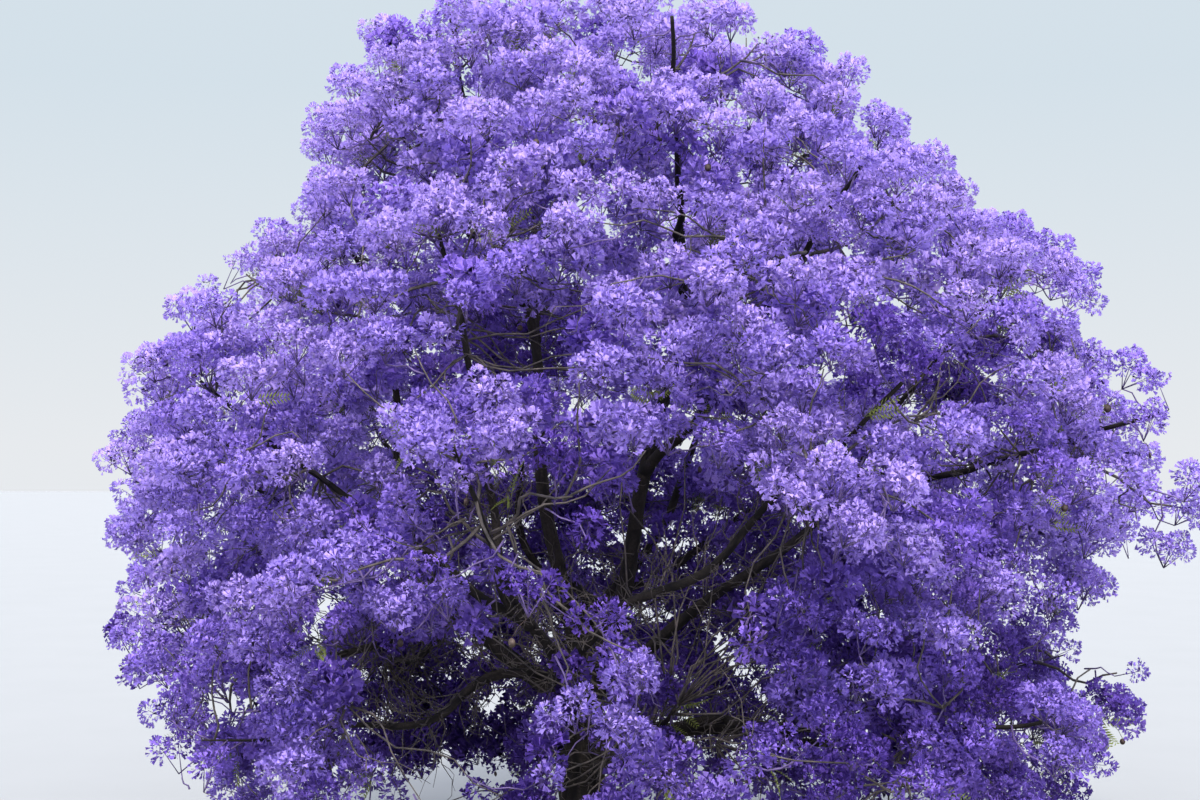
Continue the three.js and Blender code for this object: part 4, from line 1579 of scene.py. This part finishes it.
class JACARANDA_OT_blossom(bpy.types.Operator):
    """Make the panicles of bells, in one piece for each tint"""

    bl_idname = "jacaranda.blossom"
    bl_label = "Blossom"

    def execute(self, context):
        settings = context.scene.jacaranda_blossom
        rng = np.random.default_rng(ROLLS.bells)
        places, axes, sizes, sprays, _bases, hearts = panicles()[0]
        which = rng.integers(BELLS.templates, size=len(places))
        spins = rng.uniform(0, 2 * math.pi, len(places))
        tints = tint_of_sprays()[sprays]
        deep = is_deep()[sprays]
        groups = []
        for kind, (bells, scale) in enumerate(BELLS.kinds):
            own = deep == kind
            templates = panicle_templates(rng, settings, BELLS.templates, bells, scale)
            points = turned(templates, which[own], axes[own], spins[own], sizes[own])
            points += places[own, None, None]
            groups.append((tints[own], points, soft_normals(points, hearts[own])))
        masses = mass_names()
        for number, name in enumerate(TINTS):
            points = np.concatenate([rows[own == number].reshape(-1, 3) for own, rows, _normals in groups])
            normals = np.concatenate([rows[own == number].reshape(-1, 3) for own, _points, rows in groups])
            # Each piece's tint is the blossom's colour made lighter or darker as painted light and shade;
            # the mottle between tint * 0.87 and tint * 1.05 is its own uneven tone.
            tint = np.array(getattr(settings, name))
            look = {"scale": 55.0, "contrast": 2.5, "roughness": 0.8, "through": 0.45, "shine": 0.15}
            material = mottled_material(f"petal_{name}", tint * 0.87, tint * 1.05, **look)
            faces = [bell_faces(len(points) // BELLS.corners)]
            piece = new_piece(f"blossom_{name}", points, faces, material)
            piece.data.normals_split_custom_set_from_vertices(normals)
            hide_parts(*masses)
        return {"FINISHED"}


TWIG_MESH = SimpleNamespace(
    sides=4,
    thin_sides=3,
    steps=6,
    wander=0.09,
    foot=0.85,  # a twig's radius at both ends, as shares of the source's
    tip=0.6,
    stem_foot=0.0095,
    stem_steps=4,
    stalk_foot=0.0055,
    stalk_tip=0.0025,
    stalk_end=0.02,  # how far into its panicle a stalk goes
    droop=0.1,
)


def bent_paths(starts, ends, steps, bend, rng):
    """Crooked paths: even runs from start to end, plus arches of one to four half waves, each its own way.

    An arch of n half waves is the bend over n times the length.
    """
    t = (np.arange(steps + 1) / steps)[:, None]
    chord = ends - starts
    reach = np.linalg.norm(chord, axis=-1)[:, None, None]
    paths = starts[:, None] + chord[:, None] * t
    for waves in (1, 2, 3, 4):
        aside = unit(np.cross(chord, rng.normal(size=chord.shape)))[:, None]
        paths = paths + reach * bend / waves * aside * np.sin(waves * math.pi * t)
    return paths


WIRY = SimpleNamespace(
    each=56,  # how many leave a bough, of which so many do so away from a hollow, past a share of its length
    open=18,
    past=0.45,
    first=0.15,  # and all of them past this one
    near=(2.0, 0.3),  # how far behind a hollow, and how much of it is reached
    onward=0.6,
    upward=(-0.3, 0.6),
    every=2,  # one leaves each of so many twigs, between two shares of its length
    along=(0.15, 0.9),
    ahead=0.8,
    inside=0.93,
    lowest=0.3,
    long=(0.25, 0.9),
    foot=0.007,
    tip=0.002,
    bend=0.17,
    steps=6,
    forks=2,  # and so many shorter ones leave it, from this step on
    first_fork=2,
    fork_foot=0.6,
    fork_long=(0.35, 0.7),
    fork_aside=0.8,
    fork_steps=4,
    drawn_in=0.4,  # how much of one is left that would end outside
)


def wiry_twigs(rng):
    """Bare twigs that leave the boughs and the twigs, each with shorter ones leaving it."""
    starts, ways = [], []
    tree = grown_tree()
    for limb in tree.limbs[1:]:
        share = rng.uniform(WIRY.first, 1, WIRY.each)
        line = limb.line
        way = line.way(share)
        aside = unit(np.cross(way, rng.normal(size=way.shape)))
        start = line.point(share) * MM
        way = unit(aside + WIRY.onward * way + UP * rng.uniform(*WIRY.upward, (WIRY.each, 1)))
        further, reached = WIRY.near
        kept = in_hollow(start, further) > reached
        kept |= (share > WIRY.past) & (np.arange(WIRY.each) < WIRY.open)
        starts.append(start[kept])
        ways.append(way[kept])
    twigs = [twig for grown in tree.grown for twig in grown.twigs][:: WIRY.every]
    foot = np.array([twig.start for twig in twigs]) * MM
    chord = np.array([twig.end for twig in twigs]) * MM - foot
    way = unit(chord)
    starts.append(foot + chord * rng.uniform(*WIRY.along, (len(twigs), 1)))
    ways.append(unit(WIRY.ahead * way + unit(np.cross(way, rng.normal(size=way.shape)))))
    starts, ways = np.concatenate(starts), np.concatenate(ways)
    ends = starts + ways * rng.uniform(*WIRY.long, (len(starts), 1))
    kept = ~outside(ends, WIRY.inside) & (ends[:, 2] > WIRY.lowest)
    starts, ends = starts[kept], ends[kept]
    first = bent_paths(starts, ends, WIRY.steps, WIRY.bend, rng)
    forks, tips = [], []
    for fork in range(WIRY.forks):
        base = first[:, WIRY.first_fork + fork]
        onward = first[:, -1] - base
        way = unit(onward)
        aside = unit(np.cross(way, rng.normal(size=way.shape)))
        reach = rng.uniform(*WIRY.fork_long, (len(base), 1)) * np.linalg.norm(onward, axis=-1)[:, None]
        forks.append(base)
        tip = base + unit(way + WIRY.fork_aside * aside) * reach
        is_out = outside(tip, WIRY.inside)[:, None]
        tips.append(np.where(is_out, lerp(base, tip, WIRY.drawn_in), tip))
    second = bent_paths(np.concatenate(forks), np.concatenate(tips), WIRY.fork_steps, WIRY.bend, rng)
    return first, second


def even_radii(foot, tip, paths):
    """The radii of many paths that all taper evenly from a foot to a tip."""
    return np.broadcast_to(np.linspace(foot, tip, paths.shape[1]), paths.shape[:2])


class JACARANDA_OT_twigs(bpy.types.Operator):
    """Make the twigs of every mass, the stalk of every panicle, and the bare twigs among them"""

    bl_idname = "jacaranda.twigs"
    bl_label = "Twigs"

    def execute(self, context):
        settings = context.scene.jacaranda_bark
        rng = np.random.default_rng(ROLLS.twigs)
        tree = grown_tree()
        twigs = [twig for grown in tree.grown for twig in grown.twigs]
        twigs = [twig for twig in twigs if in_hollow(twig.end * MM, rows=SKY_GAPS) < IN_SKY]
        starts = np.array([twig.start for twig in twigs]) * MM
        ends = np.array([twig.end for twig in twigs]) * MM
        fine = np.array([twig.fine for twig in twigs])[:, None]
        paths = bent_paths(starts, ends, TWIG_MESH.steps, TWIG_MESH.wander, rng)
        t = np.arange(TWIG_MESH.steps + 1) / TWIG_MESH.steps
        radii = lerp(SPRAY.twig_foot * TWIG_MESH.foot, SPRAY.twig_tip * TWIG_MESH.tip, t) * MM * fine
        first, second = wiry_twigs(rng)
        groups = [
            (paths, radii, TWIG_MESH.sides),
            (first, even_radii(WIRY.foot, WIRY.tip, first), TWIG_MESH.thin_sides),
            (second, even_radii(WIRY.foot * WIRY.fork_foot, WIRY.tip, second), TWIG_MESH.thin_sides),
        ]
        mottling = {"scale": 9.0, "contrast": 3.0}
        colours = settings.twig_dark, settings.twig_light
        material = mottled_material("twig_bark", *colours, **mottling, roughness=0.85, bump=0.002)
        branchlets = new_piece("branchlets", *join_tubes(groups), material)
        (places, axes, sizes, _sprays, bases, _hearts), stems = panicles()
        paths = np.stack([bases, places + axes * (sizes * TWIG_MESH.stalk_end)[:, None]], axis=1)
        runs = bent_paths(stems[:, 0], stems[:, 1], TWIG_MESH.stem_steps, TWIG_MESH.droop, rng)
        groups = [
            (paths, even_radii(TWIG_MESH.stalk_foot, TWIG_MESH.stalk_tip, paths), TWIG_MESH.thin_sides),
            (runs, even_radii(TWIG_MESH.stem_foot, TWIG_MESH.stalk_foot, runs), TWIG_MESH.thin_sides),
        ]
        colours = settings.stalk_dark, settings.stalk_light
        material = mottled_material("flower_stalk", *colours, **mottling, roughness=0.8)
        stalks = new_piece("stalks", *join_tubes(groups), material)
        masses = mass_names()
        for piece in (branchlets, stalks):
            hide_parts(*masses)
        return {"FINISHED"}


LEAVES = SimpleNamespace(
    tufts=260,
    in_tuft=3,
    inside=0.97,
    sizes=(0.7, 1.15),
    astray=0.55,
    long=0.25,
    droop=0.35,  # how far its tip sinks, as a share of its length
    stalk=0.002,
    pairs=9,  # of pinnae, from this share of its length on
    first=0.2,
    pinna=0.065,  # how long the longest is
    wave=(0.2, 0.62),  # where in a sine's half wave their lengths start, and how far they go
    way=(-0.15, 0.5),  # how much a pinna points down and forward
    wide=0.015,  # how wide it is, and where
    waist=0.45,
)
PODS = SimpleNamespace(
    count=110,
    corners=10,
    across=0.058,
    along=0.066,
    thick=0.009,
    sizes=(0.8, 1.15),
    aside=(0.1, 0.22),  # how far a pod hangs beside a stem's end, how steep that way is, and how far below
    steep=0.1,
    hang=0.09,
    stalk=0.0025,
    bow=(0.6, 0.02),  # where its stalk bows up, and how far
)


def leaf_template():
    """A leaf along +Z: pairs of pinnae on a rachis that bows towards -Y as the square of its length.

    A pinna is a kite: its foot, its two widest corners and its tip.
    """
    share = np.linspace(LEAVES.first, 1, LEAVES.pairs)
    feet = np.column_stack([0 * share, -LEAVES.droop * LEAVES.long * share**2, LEAVES.long * share])
    start, rest = LEAVES.wave
    long = LEAVES.pinna * np.sin(math.pi * (start + rest * share))[:, None]
    aside = UP * LEAVES.wide / 2
    kites = []
    for hand in (-1, 1):
        way = unit(np.array([hand, *LEAVES.way]))
        waist = feet + way * long * LEAVES.waist
        kites.append(np.stack([feet, waist - aside, feet + way * long, waist + aside], axis=1))
    return np.concatenate(kites)[None]


class JACARANDA_OT_leaves(bpy.types.Operator):
    """Make tufts of the year's first leaves, between the clumps of blossom"""

    bl_idname = "jacaranda.leaves"
    bl_label = "Leaves"

    def execute(self, context):
        settings = context.scene.jacaranda_blossom
        rng = np.random.default_rng(ROLLS.leaves)
        stems = panicles()[1]
        feet = stems[rng.choice(len(stems), LEAVES.tufts, replace=False), 1]
        out = unit(feet - UP * CROWN_HEART * MM)
        bases = np.repeat(feet, LEAVES.in_tuft, axis=0)
        axes = np.repeat(out, LEAVES.in_tuft, axis=0) + rng.normal(0, LEAVES.astray, (len(bases), 3))
        axes = unit(axes)
        sizes = rng.uniform(*LEAVES.sizes, len(bases))
        spins = rng.uniform(0, 2 * math.pi, len(bases))
        kept = ~outside(bases + axes * LEAVES.long, LEAVES.inside)
        bases, axes, sizes, spins = bases[kept], axes[kept], sizes[kept], spins[kept]
        which = np.zeros(len(bases), int)
        kites = turned(leaf_template(), which, axes, spins, sizes) + bases[:, None, None]
        points = kites.reshape(-1, 3)
        blades = np.arange(len(points)).reshape(-1, 4)
        share = np.linspace(0, 1, 3)
        rachis = np.column_stack([0 * share, -LEAVES.droop * LEAVES.long * share**2, LEAVES.long * share])
        paths = turned(rachis[None, None], which, axes, spins, sizes)[:, 0] + bases[:, None]
        stalks, walls = join_tubes([(paths, np.full(paths.shape[:2], LEAVES.stalk), 3)])
        leaf = np.array(settings.leaf)
        look = {"scale": 30.0, "contrast": 2.5, "roughness": 0.55, "through": 0.3}
        material = mottled_material("first_leaves", leaf * 0.7, leaf * 1.25, **look)
        faces = [blades, *(rows + len(points) for rows in walls)]
        new_piece("leaves", np.concatenate([points, stalks]), faces, material, is_smooth=False)
        return {"FINISHED"}


def pod_template():
    """A pod that hangs from the origin: its rim, and the middles of its two faces."""
    angle = 2 * math.pi * np.arange(PODS.corners) / PODS.corners
    wide, high, deep = PODS.across / 2, PODS.along / 2, PODS.thick / 2
    rim = np.column_stack([np.cos(angle) * wide, 0 * angle, (np.sin(angle) - 1) * high])
    return np.concatenate([rim, [[0, -deep, -high], [0, deep, -high]]])


def pod_faces(count):
    """The triangles of many pods, from the middle of each face to two corners of the rim."""
    first = np.arange(count)[:, None] * (PODS.corners + 2)
    k = np.arange(PODS.corners)
    middle = PODS.corners + 0 * k
    after = (k + 1) % PODS.corners
    front = np.stack([first + middle, first + k, first + after], axis=-1)
    back = np.stack([first + middle + 1, first + after, first + k], axis=-1)
    return np.concatenate([front, back]).reshape(-1, 3)


class JACARANDA_OT_pods(bpy.types.Operator):
    """Make last year's pods, flat and round, each hanging by its stalk"""

    bl_idname = "jacaranda.pods"
    bl_label = "Pods"

    def execute(self, context):
        settings = context.scene.jacaranda_blossom
        rng = np.random.default_rng(ROLLS.pods)
        stems = panicles()[1]
        feet = stems[rng.choice(len(stems), PODS.count, replace=False), 1]
        aside = unit(rng.normal(size=feet.shape) * [1, 1, PODS.steep])
        tops = feet + aside * rng.uniform(*PODS.aside, (len(feet), 1)) - UP * PODS.hang
        spins = rng.uniform(0, 2 * math.pi, len(feet))
        across = np.column_stack([np.cos(spins), np.sin(spins), 0 * spins])
        turn = np.stack([across, np.cross(UP, across), np.tile(UP, (len(feet), 1))], axis=1)
        sizes = rng.uniform(*PODS.sizes, (len(feet), 1, 1))
        points = (tops[:, None] + np.einsum("cj,njk->nck", pod_template(), turn) * sizes).reshape(-1, 3)
        where, rise = PODS.bow
        paths = np.stack([feet, lerp(feet, tops, where) + UP * rise, tops], axis=1)
        stalks, walls = join_tubes([(paths, np.full(paths.shape[:2], PODS.stalk), 3)])
        pod = np.array(settings.pod)
        look = {"scale": 40.0, "contrast": 2.5, "roughness": 0.6, "bump": 0.001}
        material = mottled_material("dry_pod", pod * 0.7, pod * 1.5, **look)
        faces = [pod_faces(len(feet)), *(rows + len(points) for rows in walls)]
        new_piece("pods", np.concatenate([points, stalks]), faces, material)
        return {"FINISHED"}


# Stage

STAGE = SimpleNamespace(
    half=150.0,  # the floor's half side
    haze=0.2,  # how high the horizon's colour goes over into the backdrop's
    sky=(0.8, 0.87, 1, 1),
    sun=(1.0, 0.97, 0.92),
    sun_wide=14,  # degrees
    sun_turn=(34, -5, 0),
    furthest=1000,  # what the camera still sees
)


def make_floor(settings):
    """A wide pale floor under the tree, out towards the horizon."""
    half = STAGE.half
    corners = [[-half, -half, 0], [half, -half, 0], [half, half, 0], [-half, half, 0]]
    tint = np.array(settings.floor)
    material = mottled_material("floor", tint * 0.97, tint * 1.02, scale=0.6, contrast=1.5, roughness=0.9)
    mesh = bpy.data.meshes.new("floor")
    mesh.from_pydata(corners, [], [[0, 1, 2, 3]])
    mesh.materials.append(material)
    floor = bpy.data.objects.new("floor", mesh)
    bpy.context.scene.collection.objects.link(floor)


def make_sky(settings):
    """A sky that lights the tree in one colour and shows the camera a run from horizon to backdrop."""
    world = bpy.data.worlds.new("studio")
    world.use_nodes = True
    tree = world.node_tree
    tree.nodes.clear()
    way = add_node(tree, "ShaderNodeTexCoord").outputs["Generated"]
    up = add_node(tree, "ShaderNodeSeparateXYZ", {"Vector": way}).outputs["Z"]
    rise = add_node(tree, "ShaderNodeMapRange", {"Value": up, "From Min": 0.0, "From Max": STAGE.haze})
    blend = blend_colours(tree, rise.outputs["Result"], settings.horizon, settings.backdrop)
    seen = add_node(tree, "ShaderNodeBackground", {"Color": blend, "Strength": 1.0})
    light = {"Color": STAGE.sky, "Strength": settings.sky_strength}
    sky = add_node(tree, "ShaderNodeBackground", light)
    ray = add_node(tree, "ShaderNodeLightPath")
    mixed = add_node(tree, "ShaderNodeMixShader", {0: ray.outputs["Is Camera Ray"]})
    tree.links.new(sky.outputs[0], mixed.inputs[1])
    tree.links.new(seen.outputs[0], mixed.inputs[2])
    add_node(tree, "ShaderNodeOutputWorld", {"Surface": mixed.outputs[0]})
    bpy.context.scene.world = world


def make_sun(settings):
    """A wide, soft sun, high behind the camera and a little to the left."""
    sun = bpy.data.lights.new("sun", "SUN")
    sun.energy = settings.sun_strength
    sun.angle = math.radians(STAGE.sun_wide)
    sun.color = STAGE.sun
    placed = bpy.data.objects.new("sun", sun)
    bpy.context.scene.collection.objects.link(placed)
    placed.rotation_euler = [math.radians(turn) for turn in STAGE.sun_turn]


def make_camera(settings):
    """A camera in front of the tree.

    It is turned up by the angle whose tangent is the rise to its aim over its distance.
    """
    camera = bpy.data.cameras.new("camera")
    camera.angle = settings.view_angle
    camera.clip_end = STAGE.furthest
    placed = bpy.data.objects.new("camera", camera)
    bpy.context.scene.collection.objects.link(placed)
    placed.location = (CAMERA.x, -settings.camera_distance, settings.camera_height)
    lift = math.atan2(CAMERA.aim - settings.camera_height, settings.camera_distance)
    placed.rotation_euler = (math.pi / 2 + lift, 0, 0)
    bpy.context.scene.camera = placed
    bpy.context.scene.view_settings.view_transform = "Standard"


class JACARANDA_OT_stage(bpy.types.Operator):
    """Make the floor, the light and the camera"""

    bl_idname = "jacaranda.stage"
    bl_label = "Stage"

    def execute(self, context):
        settings = context.scene.jacaranda_stage
        make_floor(settings)
        make_sky(settings)
        make_sun(settings)
        make_camera(settings)
        return {"FINISHED"}


class JACARANDA_PT_sidebar(bpy.types.Panel):
    """The operators and their settings"""

    bl_idname = "JACARANDA_PT_sidebar"
    bl_label = "Jacaranda"
    bl_space_type = "VIEW_3D"
    bl_region_type = "UI"
    bl_category = "Jacaranda"

    def draw(self, context):
        for operator in OPERATORS:
            self.layout.operator(operator.bl_idname)
        for group in ("jacaranda_bark", "jacaranda_blossom", "jacaranda_stage"):
            settings = getattr(context.scene, group)
            box = self.layout.box()
            for name in settings.__annotations__:
                box.prop(settings, name)


OPERATORS = (
    JACARANDA_OT_stage,
    JACARANDA_OT_trunk,
    JACARANDA_OT_boughs,
    JACARANDA_OT_twigs,
    JACARANDA_OT_blossom,
    JACARANDA_OT_leaves,
    JACARANDA_OT_pods,
)
CLASSES = (BarkSettings, BlossomSettings, StageSettings, *OPERATORS, JACARANDA_PT_sidebar)


def register():
    """Register the classes, and give the scene its settings."""
    for made in CLASSES:
        bpy.utils.register_class(made)
    bpy.types.Scene.jacaranda_bark = bpy.props.PointerProperty(type=BarkSettings)
    bpy.types.Scene.jacaranda_blossom = bpy.props.PointerProperty(type=BlossomSettings)
    bpy.types.Scene.jacaranda_stage = bpy.props.PointerProperty(type=StageSettings)


def unregister():
    """Undo register."""
    del bpy.types.Scene.jacaranda_stage
    del bpy.types.Scene.jacaranda_blossom
    del bpy.types.Scene.jacaranda_bark
    for made in reversed(CLASSES):
        bpy.utils.unregister_class(made)


def main():
    """Run the operators in order."""
    register()
    bpy.ops.jacaranda.stage()
    bpy.ops.jacaranda.trunk()
    bpy.ops.jacaranda.boughs()
    bpy.ops.jacaranda.twigs()
    bpy.ops.jacaranda.blossom()
    bpy.ops.jacaranda.leaves()
    bpy.ops.jacaranda.pods()


if __name__ == "__main__":
    main()
